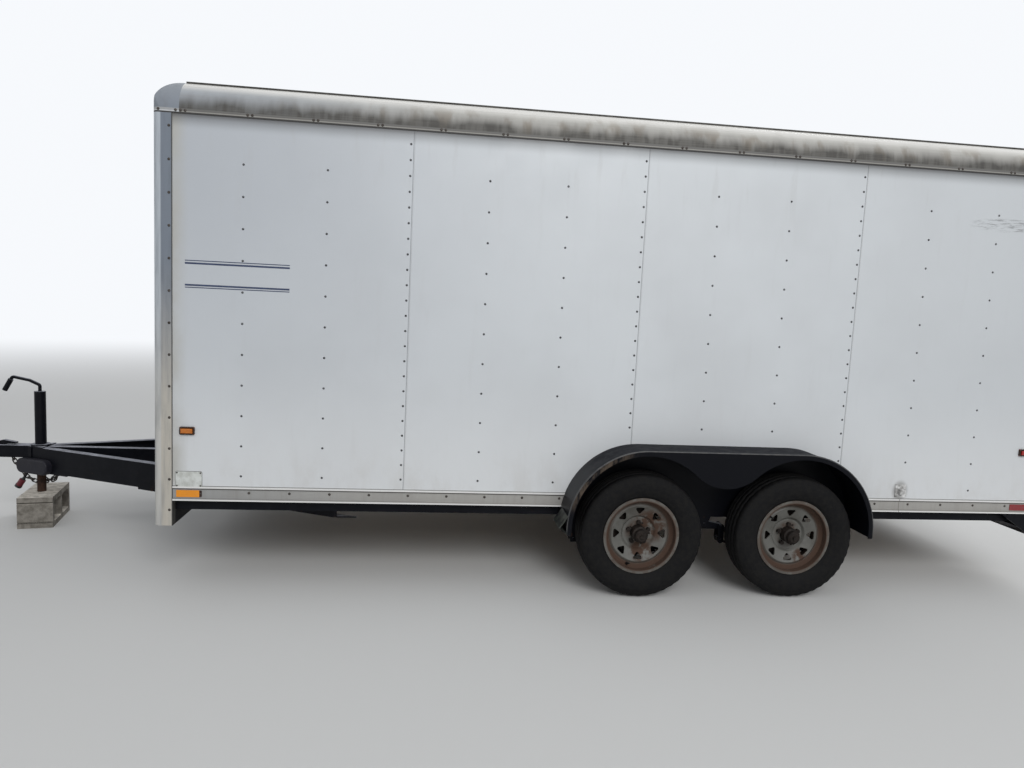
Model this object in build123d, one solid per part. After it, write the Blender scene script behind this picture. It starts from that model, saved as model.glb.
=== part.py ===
from build123d import *
import math
import os

# An enclosed cargo trailer on two axles, parked level on its tongue jack. Millimetres.
# X runs from the coupler back to the rear doors, Y to the trailer's right side, Z up.
# The origin is on the ground, under the middle of the whole trailer.

# Box body
body_length = 4990
body_width = 2134
wall = 40
skin_proud = 3
rail_bottom = 442
rail_height = 74
cove_flange = 25
cove_radius = 153
cap_length = 126
post_bottom = 310
post_width = 94
post_radius = 34
sheet_pitch = 1219
seam_behind_door = 109
sheet_gap = 0.6
rail_bead = 13
rail_proud = 5
rail_metal = 4

# Chassis
main_rail_bottom = 386
main_rail_height = 152
main_rail_width = 51
rail_steel = 6
cross_depth = 50
cross_width = 40
cross_steel = 4
cross_pitch = 406
deck_thickness = 19
skirt_setback = 8
sill_steel = 6
gusset_length = 200
gusset_steel = 6

# Tongue, coupler and jack
tongue_reach = 1400
tongue_half_angle = 25
tongue_apex_ahead = 1201
tongue_depth = 152
tongue_flange = 50
tongue_web = 6
tongue_flange_steel = 8
tongue_front_cut = 1117
tongue_gap = 2
centre_member_length = 1420
centre_member_width = 51
top_plate_length = 83
tongue_plate_steel = 6
bottom_plate_from_nose = 371
bottom_plate_length = 194
wear_plate_length = 334
wear_plate_steel = 12
ball_radius = 29.8
ball_from_nose = 56
socket_depth = 32
coupler_steel = 6
coupler_depth = 75
coupler_half_width = 42
coupler_length = 300
latch_length = 135
latch_rise = 30
latch_half_width = 14
jack_from_nose = 333
jack_tube_radius = 32
jack_bore_radius = 26.2
jack_leg_radius = 25.4
jack_top = 838
jack_tube_bottom = 400
jack_leg_top = 560
jack_flange_radius = 55
jack_flange_steel = 8
crank_radius = 10
crank_bend = 16
crank_stub = 40
crank_knee_out = 60
crank_knee_up = 68
crank_arm_out = 160
crank_arm_up = 88
crank_grip_out = 206
crank_grip_up = 4
crank_grip_radius = 15
crank_grip_share = 0.8
case_from_nose = 223
case_length = 254
case_height = 92
case_thickness = 42
case_corner = 38
case_edge = 10

# Concrete block under the jack leg
block_length = 397
block_side = 194
block_shell = 32
block_web = 30
block_turn = 12
block_offset = 25
block_core_corner = 18
block_groove = 6
block_groove_depth = 4
block_groove_level = 60

# Wheels and running gear
tyre_radius = 334
tyre_width = 200
tread_width = 156
wheel_from_wall = 86
axle_spacing = 848
axle_middle = 2940
rim_seat_radius = 190.6
rim_flange_radius = 205
rim_half_width = 79
rim_well_radius = 168
rim_well_half_width = 32
rim_ledge = 45
rim_steel = 3.5
disc_steel = 6
disc_bore_radius = 43
window_count = 8
window_radius = 124
window_size = 32
window_corner = 8
lug_count = 5
lug_circle = 114.3
stud_radius = 6.4
nut_radius = 11.5
nut_length = 18
hub_radius = 42.5
hub_reach = 96
hub_barrel = 56
hub_cap_radius = 33
hub_flange_radius = 70
drum_radius = 130
drum_depth = 44
spindle_radius = 22
spindle_clearance = 0.06
axle_drop = 100
axle_tube_radius = 30
backing_radius = 134
drop_plate_steel = 14
spring_length = 641
spring_arch = 50
spring_width = 44
leaf_steel = 7
leaf_lengths = (641, 540, 420, 300)
eye_radius = 16
pin_radius = 8
pin_clearance = 0.3
spring_seat = 6
spring_inset = 32
hanger_steel = 5
hanger_width = 70
u_bolt_steel = 12
equalizer_pivot_drop = 45
equalizer_fall = 16
equalizer_width = 30
shackle_width = 34

# Fenders
fender_reach = 226
fender_steel = 3
arch_radius = 390
arch_above_axle = 51
fender_band = 22
skirt_low = 611
fender_end = 352
toe_ahead = 46
toe_height = 92
toe_depth = 170

# Rear doors, side door and their hardware
rear_post_depth = 70
rear_post_width = 76
door_gap = 8
door_proud = 6
hinge_stand = 24
hinge_radius = 12
hinge_height = 28
hinge_ear = 14
hinge_play = 2
strap_steel = 6
strap_length = 230
hinge_count = 3
lock_bar_radius = 10
lock_bar_stand = 8
lock_bar_from_hinge = 600
lock_bar_overrun = 30
lock_bar_guides = 4
guide_from_end = 110
guide_height = 40
guide_width = 44
lock_grip_length = 230
lock_grip_height = 28
lock_grip_steel = 10
lock_grip_level = 760
keeper_depth = 34
keeper_gap = 6
keeper_steel = 6
side_door_from_front = 327
side_door_width = 825
side_door_height = 1765
side_door_header = 54
side_door_gap = 6
side_door_bottom = 541
side_hinge_radius = 6
side_pin_radius = 3
side_hinge_count = 3
side_hinge_from_end = 200
side_knuckle = 60
side_hinge_ear = 26
side_hinge_leaf = 40
side_hinge_steel = 3
side_trim_width = 22
latch_from_edge = 70
latch_width = 100
latch_height = 130
latch_proud = 8
latch_height_share = 0.45

# Lamps and catches
lamp_length = 71
lamp_height = 38
lamp_base = 10
lamp_proud = 20
lamp_frame = 7
lens_edge = 4
front_lamp_from_front = 130
rear_lamp_from_rear = 205
lamp_level = 786
reflector_length = 113
reflector_height = 36
reflector_proud = 3
front_reflector_from_front = 112
rear_reflector_from_rear = 222
tail_lamp_length = 165
tail_lamp_height = 60
tail_lamp_base = 6
tail_lamp_proud = 14
header_lamp_step = 180
catch_behind_fender = 264
catch_above_rail = 12
catch_height = 74
catch_length = 62
catch_plate = 4
catch_knob_length = 32
catch_knob_height = 30
catch_proud = 30

# Safety chains
link_wire = 4
link_inner_length = 30
link_inner_width = 13
link_slack = 0.6
chain_pin_head = 10
chain_eye_drop = 20
long_chain_link_count = 15
long_chain_pin_from_nose = 118
long_chain_pin_out = 60
long_chain_eye_from_nose = 412
long_chain_eye_out = 92
short_chain_link_count = 11
short_chain_pin_from_nose = 262
short_chain_pin_out = 62
short_chain_eye_from_nose = 420
short_chain_eye_out = 46

# Wiring cable and plug
cable_radius = 6
cable_from_nose = 255
cable_out = 6
gland_radius = 12
gland_nut = 12
gland_length = 42
plug_length = 82
plug_radius = 19
plug_collar_radius = 21
plug_collar = 14
plug_neck = 20
plug_socket = 8
# The cable's route from the gland: back along X, out along Y and up, from each point to the gland.
cable_route = (
    (0, 0, 0),
    (0, 0, -34),
    (4, 1, -70),
    (1, 2, -105),
    (-9, 3, -137),
    (-26, 4, -162),
)

# Places that follow from the sizes above
half_width = body_width / 2
inner_half = half_width - wall
outer_half = half_width + skin_proud
rear_reach = hinge_stand + hinge_radius
overall_length = tongue_reach + body_length + rear_reach
nose_x = -overall_length / 2
front_x = nose_x + tongue_reach
rear_x = front_x + body_length
rail_top = rail_bottom + rail_height
shell = wall + skin_proud
cove_bottom = side_door_bottom + side_door_height + side_door_header
roof_top = cove_bottom + cove_flange + cove_radius
first_seam_x = front_x + side_door_from_front + side_door_width + seam_behind_door
main_rail_top = main_rail_bottom + main_rail_height
deck_bottom = main_rail_top
deck_top = deck_bottom + deck_thickness
frame_front_x = front_x + post_width
frame_rear_x = rear_x - rear_post_depth
tongue_top = main_rail_top - cross_depth
tongue_bottom = tongue_top - tongue_depth
tongue_apex_x = front_x - tongue_apex_ahead
tongue_slope = math.tan(math.radians(tongue_half_angle))
tongue_front_x = front_x - tongue_front_cut
ball_x = nose_x + ball_from_nose
jack_x = nose_x + jack_from_nose
axle_x = (
    front_x + axle_middle - axle_spacing / 2,
    front_x + axle_middle + axle_spacing / 2,
)
wheel_y = half_width + wheel_from_wall
spring_y = inner_half - spring_inset
door_thickness = wall
coupler_low = tongue_top + coupler_steel - coupler_depth
chain_pin_level = coupler_low + chain_pin_head + link_wire
plate_low = tongue_bottom - tongue_plate_steel
chain_eye_level = plate_low - chain_eye_drop
# Each chain: the place of its first link, the place of its last, and how many links it has.
chain_runs = (
    (
        (nose_x + long_chain_pin_from_nose, long_chain_pin_out, chain_pin_level),
        (nose_x + long_chain_eye_from_nose, long_chain_eye_out, chain_eye_level),
        long_chain_link_count,
    ),
    (
        (nose_x + short_chain_pin_from_nose, short_chain_pin_out, chain_pin_level),
        (nose_x + short_chain_eye_from_nose, short_chain_eye_out, chain_eye_level),
        short_chain_link_count,
    ),
)
cable_exit = (nose_x + cable_from_nose, cable_out, tongue_top - gland_length)


def block(x0, x1, y0, y1, z0, z1):
    return Pos((x0 + x1) / 2, (y0 + y1) / 2, (z0 + z1) / 2) * Box(x1 - x0, y1 - y0, z1 - z0)


def prism_along_x(sketch, x0, x1):
    # The sketch is drawn in Y and Z.
    return extrude(Plane.YZ.offset(x0) * sketch, amount=x1 - x0)


def prism_along_y(sketch, y0, y1):
    # The sketch is drawn in X and Z.
    return extrude(Plane.XZ.offset(-y1) * sketch, amount=y1 - y0)


def prism_along_z(sketch, z0, z1):
    return extrude(Plane.XY.offset(z0) * sketch, amount=z1 - z0)


def outline(*points):
    return make_face(Polyline(*points, close=True).edges())


def other_side(shape):
    return mirror(shape, about=Plane.XZ)


def both_sides(shape):
    return [shape, other_side(shape)]


def solids_of(shapes):
    found = []
    for shape in shapes:
        found.extend(shape.solids())
    return found


def save(node, *shapes):
    solids = solids_of(shapes)
    whole = solids[0] if len(solids) == 1 else Compound(children=solids)
    export_step(whole, f"parts/{node}.step")
    return whole


# Chassis
def make_main_rails():
    web = inner_half - rail_steel
    edge = inner_half - main_rail_width
    low = main_rail_bottom
    high = main_rail_top
    channel = outline(
        (inner_half, low),
        (inner_half, high),
        (edge, high),
        (edge, high - rail_steel),
        (web, high - rail_steel),
        (web, low + rail_steel),
        (edge, low + rail_steel),
        (edge, low),
    )
    return both_sides(prism_along_x(channel, frame_front_x, frame_rear_x))


def make_crossmembers(rails):
    low = main_rail_top - cross_depth
    high = main_rail_top
    members = []
    count = int((frame_rear_x - frame_front_x) // cross_pitch)
    reach = inner_half - rail_steel
    for index in range(count):
        x = frame_front_x + (index + 0.5) * cross_pitch
        channel = outline(
            (x, low),
            (x + cross_width, low),
            (x + cross_width, low + cross_steel),
            (x + cross_steel, low + cross_steel),
            (x + cross_steel, high - cross_steel),
            (x + cross_width, high - cross_steel),
            (x + cross_width, high),
            (x, high),
        )
        member = prism_along_y(channel, -reach, reach)
        for rail in rails:
            member = member - rail
        members.append(member)
    return members


def make_front_skirt(tongue_pieces, posts):
    front = front_x + skirt_setback
    behind_post = front_x + shell
    post_edge = half_width - post_width
    low = post_bottom
    skirt = block(front, front + rail_steel, -post_edge, post_edge, low, main_rail_top)
    skirt += block(front, behind_post, -post_edge, post_edge, low, low + rail_steel)
    skirt += block(behind_post, frame_front_x, -inner_half, inner_half, low, low + rail_steel)
    back = frame_front_x - rail_steel
    skirt += block(back, frame_front_x, -inner_half, inner_half, low, main_rail_top)
    for piece in tongue_pieces + posts:
        skirt = skirt - piece
    return skirt


def make_rear_sill():
    low = post_bottom
    high = main_rail_top
    sill = block(rear_x - sill_steel, rear_x, -half_width, half_width, low, high)
    sill += block(frame_rear_x, rear_x, -half_width, half_width, low, low + sill_steel)
    sill += block(frame_rear_x, rear_x, -inner_half, inner_half, high - sill_steel, high)
    triangle = outline(
        (frame_rear_x - gusset_length, rail_bottom),
        (rear_x, rail_bottom),
        (rear_x, low),
        (frame_rear_x, low),
    )
    for side in (-1, 1):
        y0, y1 = sorted((side * (half_width - gusset_steel), side * half_width))
        sill += prism_along_y(triangle, y0, y1)
    return sill


# Tongue
def make_tongue_rails():
    turn = math.radians(tongue_half_angle)
    along = (math.cos(turn), math.sin(turn), 0)
    inward = (math.sin(turn), -math.cos(turn), 0)
    start = Plane(origin=(tongue_apex_x, 0, 0), x_dir=inward, z_dir=along)
    low = -tongue_bottom
    high = -tongue_top
    channel = outline(
        (0, low),
        (0, high),
        (tongue_flange, high),
        (tongue_flange, high + tongue_flange_steel),
        (tongue_web, high + tongue_flange_steel),
        (tongue_web, low - tongue_flange_steel),
        (tongue_flange, low - tongue_flange_steel),
        (tongue_flange, low),
    )
    long_enough = (inner_half + body_width) / math.sin(turn)
    member = extrude(start * channel, amount=long_enough)
    far_x = tongue_apex_x + long_enough
    room = block(
        tongue_front_x, far_x, tongue_gap / 2, inner_half - main_rail_width, tongue_bottom, tongue_top
    )
    member = member & room
    # The jack stands between the two members, so their flanges are cut out round it.
    notch = Pos(jack_x, 0, (tongue_bottom + tongue_top) / 2)
    member -= notch * Cylinder(jack_tube_radius + skin_proud, tongue_depth)
    return both_sides(member)


def make_centre_member():
    half = centre_member_width / 2
    web = rail_steel
    channel = outline(
        (-half, tongue_bottom),
        (half, tongue_bottom),
        (half, tongue_bottom + web),
        (-half + web, tongue_bottom + web),
        (-half + web, tongue_top - web),
        (half, tongue_top - web),
        (half, tongue_top),
        (-half, tongue_top),
    )
    # It starts where the inner edges of the two rails' flanges stand as far apart as it is wide.
    flange_reach = tongue_flange / math.cos(math.radians(tongue_half_angle))
    first = tongue_apex_x + (half + flange_reach) / tongue_slope
    return prism_along_x(channel, first, first + centre_member_length)


def tongue_half_at(x):
    return tongue_slope * (x - tongue_apex_x)


def tongue_plan(x0, x1):
    # The tongue seen from above, as wide as its two members' outer faces.
    return outline(
        (x0, -tongue_half_at(x0)),
        (x0, tongue_half_at(x0)),
        (x1, tongue_half_at(x1)),
        (x1, -tongue_half_at(x1)),
    )


def make_tongue_plates():
    start = nose_x + coupler_length
    top = prism_along_z(
        tongue_plan(start, start + top_plate_length), tongue_top, tongue_top + tongue_plate_steel
    )
    top -= Pos(jack_x, 0, tongue_top) * Cylinder(jack_tube_radius + pin_clearance, 4 * tongue_plate_steel)
    start = nose_x + bottom_plate_from_nose
    bottom = prism_along_z(tongue_plan(start, start + bottom_plate_length), plate_low, tongue_bottom)
    for run in chain_runs:
        bottom += make_chain_eye(*run)
    # Under each member's rear end lies a flat bar that the body's front sits on.
    x1 = front_x + skirt_setback
    x0 = x1 - wear_plate_length
    flange = tongue_flange / math.cos(math.radians(tongue_half_angle))
    bar = outline(
        (x0, tongue_half_at(x0) - flange),
        (x0, tongue_half_at(x0)),
        (x1, tongue_half_at(x1)),
        (x1, tongue_half_at(x1) - flange),
    )
    bars = both_sides(prism_along_z(bar, tongue_bottom - wear_plate_steel, tongue_bottom))
    return [top, bottom] + bars


def coupler_plan(inset):
    spread = (coupler_steel - inset) / math.cos(math.radians(tongue_half_angle))
    half = coupler_half_width - inset
    bend_x = tongue_apex_x + (half - spread) / tongue_slope
    end_x = nose_x + coupler_length
    wide = tongue_half_at(end_x) + spread
    return [(bend_x, half), (end_x, wide), (end_x, -wide), (bend_x, -half)]


def coupler_side_at(x):
    # How far out the coupler's side stands, straight at first and then along the tongue.
    spread = coupler_steel / math.cos(math.radians(tongue_half_angle))
    return max(coupler_half_width, tongue_half_at(x) + spread)


def make_coupler():
    top = tongue_top + coupler_steel
    low = coupler_low
    nose = nose_x + coupler_half_width
    plan = outline((ball_x, coupler_half_width), *coupler_plan(0), (ball_x, -coupler_half_width))
    body = prism_along_z(plan, low, top)
    nose_length = ball_x - nose
    round_nose = Pos(nose, 0, (low + top) / 2) * Cylinder(coupler_half_width, top - low)
    body += round_nose
    if nose_length > 0:
        body += block(nose, ball_x, -coupler_half_width, coupler_half_width, low, top)
    half = coupler_half_width - coupler_steel
    hollow_start = ball_x + ball_radius + 4 * coupler_steel
    inner = outline((hollow_start, half), *coupler_plan(coupler_steel), (hollow_start, -half))
    body -= prism_along_z(inner, low, tongue_top)
    ball_z = low + socket_depth
    body -= Pos(ball_x, 0, low + socket_depth / 2) * Cylinder(ball_radius, socket_depth)
    body -= Pos(ball_x, 0, ball_z) * Sphere(ball_radius)
    body = body.solids().sort_by(SortBy.VOLUME)[-1]
    # The latch lever: a hump over its pivot and a tail that runs back, clear of the coupler.
    reach = latch_length
    rise = latch_rise
    lever = outline(
        (ball_x + reach * 0.15, top),
        (ball_x + reach * 0.26, top + rise * 0.75),
        (ball_x + reach * 0.45, top + rise),
        (ball_x + reach, top + rise * 0.55),
        (ball_x + reach, top + rise * 0.25),
        (ball_x + reach * 0.55, top + rise * 0.25),
        (ball_x + reach * 0.52, top),
    )
    body += prism_along_y(lever, -latch_half_width, latch_half_width)
    for run in chain_runs:
        body += make_chain_pin(*run)
    return body


# Jack
def make_jack_tube():
    top = tongue_top + coupler_steel
    tube_length = jack_top - jack_tube_bottom
    tube = Pos(jack_x, 0, jack_tube_bottom + tube_length / 2) * Cylinder(jack_tube_radius, tube_length)
    flange = Pos(jack_x, 0, top + jack_flange_steel / 2) * Cylinder(jack_flange_radius, jack_flange_steel)
    bore_length = tube_length - jack_flange_steel
    bore = Pos(jack_x, 0, jack_tube_bottom + bore_length / 2) * Cylinder(jack_bore_radius, bore_length)
    tube = tube + flange - bore
    knuckle = Vector(jack_x - crank_arm_out, 0, jack_top + crank_arm_up)
    end = Vector(jack_x - crank_grip_out, 0, jack_top + crank_grip_up)
    path = FilletPolyline(
        (jack_x, 0, jack_top - jack_flange_steel / 2),
        (jack_x, 0, jack_top + crank_stub),
        (jack_x - crank_knee_out, 0, jack_top + crank_knee_up),
        knuckle,
        end,
        radius=crank_bend,
    )
    section = Plane(origin=path @ 0, z_dir=path % 0) * Circle(crank_radius)
    tube += sweep(section, path=path)
    # A sleeve to hold it by turns on the crank's last stretch.
    along = (end - knuckle).normalized()
    grip_length = (end - knuckle).length * crank_grip_share
    start = end - along * grip_length
    sleeve = Plane(origin=start, z_dir=along) * Circle(crank_grip_radius)
    grip = extrude(sleeve, amount=grip_length + link_wire)
    return tube + grip


def make_jack_leg():
    length = jack_leg_top - block_side
    return Pos(jack_x, 0, block_side + length / 2) * Cylinder(jack_leg_radius, length)


def make_tongue_case():
    # A rounded case on the left member's outer face, hung under the coupler's side.
    turn = math.radians(tongue_half_angle)
    x = nose_x + case_from_nose
    face = Plane(
        origin=(x, -tongue_half_at(x), coupler_low - pin_clearance - case_height / 2),
        x_dir=(math.cos(turn), -math.sin(turn), 0),
        z_dir=(-math.sin(turn), -math.cos(turn), 0),
    )
    shape = Pos(case_length / 2, 0) * RectangleRounded(case_length, case_height, case_corner)
    case = extrude(face * shape, amount=case_thickness)
    outer = case.faces().sort_by(Axis(face.origin, face.z_dir))[-1]
    return fillet(outer.edges(), case_edge)


def make_concrete_block():
    core_length = (block_length - 3 * block_web) / 2
    core_side = block_side - 2 * block_shell
    body = Box(block_side, block_length, block_side)
    for side in (-1, 1):
        core = Box(2 * block_side, core_length, core_side)
        core = fillet(core.edges().filter_by(Axis.X), block_core_corner)
        body -= Pos(0, side * (core_length + block_web) / 2, 0) * core
        for level in (-block_groove_level, block_groove_level):
            groove = Box(2 * block_side, 2 * block_groove_depth, block_groove)
            body -= Pos(0, side * block_length / 2, level) * groove
    return Pos(jack_x, block_offset, block_side / 2) * Rot(0, 0, block_turn) * body


# Running gear
def turned(outline_edges):
    # The outline is drawn with X as the radius and Y as the distance out from the wheel's middle.
    return revolve(make_face(outline_edges), axis=Axis.Y, revolution_arc=360)


def make_tyre():
    seat = rim_seat_radius + 0.4
    bead = rim_half_width - rim_steel - 0.4
    flange = rim_flange_radius + 0.6
    half = tyre_width / 2
    tread = tread_width / 2
    belly = (flange + tyre_radius) / 2 - 8
    shoulder = tyre_radius - 7
    right = Line((seat, -bead), (seat, bead)) + Line((seat, bead), (flange, bead))
    right += ThreePointArc((flange, bead), (belly, half), (shoulder - 4, tread + 9))
    right += Line((shoulder - 4, tread + 9), (shoulder, tread))
    right += ThreePointArc((shoulder, tread), (tyre_radius, 0), (shoulder, -tread))
    right += Line((shoulder, -tread), (shoulder - 4, -tread - 9))
    right += ThreePointArc((shoulder - 4, -tread - 9), (belly, -half), (flange, -bead))
    right += Line((flange, -bead), (seat, -bead))
    return turned(right.edges())


def rim_outline():
    seat = rim_seat_radius
    flange = rim_flange_radius
    half = rim_half_width
    well = rim_well_radius
    ledge = rim_ledge
    well_half = rim_well_half_width
    inner = half - rim_steel
    outer_side = [(flange, half), (flange, inner), (seat, inner), (seat, ledge), (well, well_half)]
    outer_side += [(well, -well_half), (seat, -ledge), (seat, -inner), (flange, -inner), (flange, -half)]
    seat_in = seat - rim_steel
    well_in = well - rim_steel
    # The sloped walls of the well are as thick as the rest, so their inner corners shift a little.
    shift = rim_steel * 0.43
    inner_side = [(seat_in, -half), (seat_in, -ledge + shift), (well_in, -well_half + shift)]
    inner_side += [(well_in, well_half - shift), (seat_in, ledge - shift), (seat_in, half)]
    return Polyline(*outer_side, *inner_side, close=True)


def disc_outline():
    well = rim_well_radius - rim_steel
    steel = disc_steel
    front = [(well, 10), (well, 31), (well - 12, 37), (96, 18), (84, steel), (disc_bore_radius, steel)]
    back = [(disc_bore_radius, 0), (86, 0), (99, 12), (well - 14, 30), (well - 7, 27), (well - 7, 10)]
    return Polyline(*front, *back, close=True)


def ring_of(shape, count, radius):
    # Copies round the wheel's axle, which is the Y axis.
    copies = []
    for index in range(count):
        copies.append(Rot(0, index * 360 / count, 0) * Pos(0, 0, radius) * shape)
    return copies


def make_wheel():
    wheel = turned(rim_outline().edges())
    disc = turned(disc_outline().edges())
    # Each window is a triangle with its point towards the hub, its corners rounded off.
    window = outline(
        (-window_size, window_size * 0.55),
        (window_size, window_size * 0.55),
        (0, -window_size * 0.75),
    )
    window = fillet(window.vertices(), window_corner)
    opening = prism_along_y(window, -10, 60)
    for cut in ring_of(opening, window_count, window_radius):
        disc -= cut
    for cut in ring_of(Rot(90, 0, 0) * Cylinder(stud_radius + 1, 60), lug_count, lug_circle / 2):
        disc -= cut
    return wheel + disc


def make_hub():
    flange_steel = 14
    drum_steel = 6
    sleeve_steel = 16
    seat_gap = 0.2
    cap_step = 4
    cap_round = 8
    grease_plug = 11
    bore_end = 30
    stud_root = 12
    face = -flange_steel
    back = face - drum_depth
    web = face - drum_steel
    shell = drum_radius - drum_steel
    bore = spindle_radius + spindle_clearance
    sleeve = bore + sleeve_steel
    cap_face = hub_reach - cap_step
    tip = hub_reach + cap_step
    points = [(bore, back), (sleeve, back), (sleeve, web), (shell, web), (shell, back), (drum_radius, back)]
    points += [(drum_radius, face), (hub_flange_radius, face), (hub_flange_radius, -seat_gap)]
    points += [(hub_radius, -seat_gap), (hub_radius, hub_barrel), (hub_cap_radius, hub_barrel + cap_step)]
    points += [(hub_cap_radius, cap_face - cap_round), (hub_cap_radius - cap_round, cap_face)]
    points += [(grease_plug, cap_face), (grease_plug, tip), (0, tip), (0, bore_end), (bore, bore_end)]
    hub = turned(Polyline(*points, close=True).edges())
    stud = Rot(90, 0, 0) * Cylinder(stud_radius, stud_root + disc_steel)
    stud = Pos(0, disc_steel / 2, 0) * stud
    nut_seat = disc_steel + seat_gap
    nut = prism_along_y(RegularPolygon(nut_radius, 6), nut_seat, nut_seat + nut_length)
    for piece in ring_of(stud + nut, lug_count, lug_circle / 2):
        hub += piece
    return hub


def make_axle(x):
    low = tyre_radius - axle_drop
    plate_inner = inner_half + 9
    plate_outer = plate_inner + drop_plate_steel
    tube = Pos(x, 0, low) * Rot(90, 0, 0) * Cylinder(axle_tube_radius, 2 * plate_inner)
    for side in (-1, 1):
        slot = SlotCenterToCenter(axle_drop, 2 * axle_tube_radius + 10)
        slot = Pos(x, low + axle_drop / 2) * Rot(0, 0, 90) * slot
        y0, y1 = sorted((side * plate_inner, side * plate_outer))
        tube += prism_along_y(slot, y0, y1)
        hub_back = wheel_y - 14 - drum_depth
        spindle_end = wheel_y + 28
        length = spindle_end - plate_outer
        middle = side * (spindle_end + plate_outer) / 2
        tube += Pos(x, middle, tyre_radius) * Rot(90, 0, 0) * Cylinder(spindle_radius, length)
        plate_y = side * (hub_back - 8)
        tube += Pos(x, plate_y, tyre_radius) * Rot(90, 0, 0) * Cylinder(backing_radius, 4)
        y = side * spring_y
        seat_low = low - axle_tube_radius - spring_seat
        seat = block(x - 40, x + 40, y - spring_width / 2, y + spring_width / 2, seat_low, low - 10)
        over_spring = Pos(x, seat_low + spring_radius()) * Circle(spring_radius())
        tube += seat & prism_along_y(over_spring, y - spring_width, y + spring_width)
        for edge in (-1, 1):
            bolt_y = y + edge * (spring_width + u_bolt_steel) / 2
            outer = axle_tube_radius + u_bolt_steel
            arch = Pos(x, low) * (Circle(outer) - Circle(axle_tube_radius))
            bottom = low - axle_tube_radius - spring_seat - len(leaf_lengths) * leaf_steel - 8
            legs = Pos(x, (low + bottom) / 2) * Rectangle(2 * outer, low - bottom)
            legs -= Pos(x, (low + bottom) / 2) * Rectangle(2 * axle_tube_radius, low - bottom)
            arch -= Pos(x, low - outer / 2) * Rectangle(2 * outer, outer)
            thickness = u_bolt_steel / 2
            tube += prism_along_y(arch + legs, bolt_y - thickness, bolt_y + thickness)
        plate_low = bottom - 2
        width = spring_width / 2 + u_bolt_steel
        tube += block(x - 46, x + 46, y - width, y + width, plate_low, bottom + 8)
    return tube


def spring_eye_level():
    return tyre_radius - axle_drop - axle_tube_radius - spring_seat + spring_arch


def spring_radius():
    half = spring_length / 2
    return (half ** 2 + spring_arch ** 2) / (2 * spring_arch)


def make_spring(x, side):
    half = spring_length / 2
    radius = spring_radius()
    low = spring_eye_level() - spring_arch
    centre_z = low + radius
    pack = None
    for index, length in enumerate(leaf_lengths):
        inner = radius + index * leaf_steel
        ring = Pos(x, centre_z) * (Circle(inner + leaf_steel) - Circle(inner))
        strip = Pos(x, low) * Rectangle(length, 4 * spring_arch)
        leaf = ring & strip
        pack = leaf if pack is None else pack + leaf
    level = spring_eye_level()
    for end in (-1, 1):
        pack += Pos(x + end * half, level) * Circle(eye_radius)
    for end in (-1, 1):
        pack -= Pos(x + end * half, level) * Circle(pin_radius + pin_clearance)
    y = side * spring_y
    return prism_along_y(pack, y - spring_width / 2, y + spring_width / 2)


def pin_along_y(x, y, z, length):
    return Pos(x, y, z) * Rot(90, 0, 0) * Cylinder(pin_radius, length)


def make_hanger(x, y, pin_z):
    plate = outline(
        (x - hanger_width / 2, main_rail_bottom),
        (x + hanger_width / 2, main_rail_bottom),
        (x + eye_radius, pin_z - eye_radius),
        (x - eye_radius, pin_z - eye_radius),
    )
    inside = spring_width / 2 + 2
    outside = inside + hanger_steel
    hanger = prism_along_y(plate, y - outside, y - inside)
    hanger += prism_along_y(plate, y + inside, y + outside)
    hanger += block(
        x - hanger_width / 2, x + hanger_width / 2, y - outside, y + outside,
        main_rail_bottom - hanger_steel, main_rail_bottom,
    )
    return hanger + pin_along_y(x, y, pin_z, 2 * outside + 12)


def make_equalizer(x, y):
    pivot = main_rail_bottom - equalizer_pivot_drop
    end_z = pivot - equalizer_fall
    reach = axle_spacing / 2 - spring_length / 2
    shape = Pos(x, pivot) * Circle(20)
    shape += outline(
        (x - reach, end_z - 14),
        (x + reach, end_z - 14),
        (x + reach, end_z + 12),
        (x, pivot + 20),
        (x - reach, end_z + 12),
    )
    for end in (-1, 1):
        shape += Pos(x + end * reach, end_z) * Circle(16)
    for place in ((x, pivot), (x - reach, end_z), (x + reach, end_z)):
        shape -= Pos(*place) * Circle(pin_radius + pin_clearance)
    return prism_along_y(shape, y - equalizer_width / 2, y + equalizer_width / 2)


def make_shackle(x, y):
    top = main_rail_bottom - equalizer_pivot_drop - equalizer_fall
    low = spring_eye_level()
    strap = SlotCenterToCenter(top - low, shackle_width)
    strap = Pos(x, (top + low) / 2) * Rot(0, 0, 90) * strap
    inside = spring_width / 2 + 2
    outside = inside + hanger_steel
    shackle = prism_along_y(strap, y - outside, y - inside)
    shackle += prism_along_y(strap, y + inside, y + outside)
    for z in (top, low):
        shackle += pin_along_y(x, y, z, 2 * outside + 8)
    return shackle


def make_spring_hangers():
    pieces = []
    half = spring_length / 2
    middle = (axle_x[0] + axle_x[1]) / 2
    pivot = main_rail_bottom - equalizer_pivot_drop
    for side in (-1, 1):
        y = side * spring_y
        pieces.append(make_hanger(axle_x[0] - half, y, spring_eye_level()))
        pieces.append(make_hanger(axle_x[1] + half, y, spring_eye_level()))
        pieces.append(make_hanger(middle, y, pivot))
        pieces.append(make_equalizer(middle, y))
        pieces.append(make_shackle(axle_x[0] + half, y))
        pieces.append(make_shackle(axle_x[1] - half, y))
    return pieces


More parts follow.
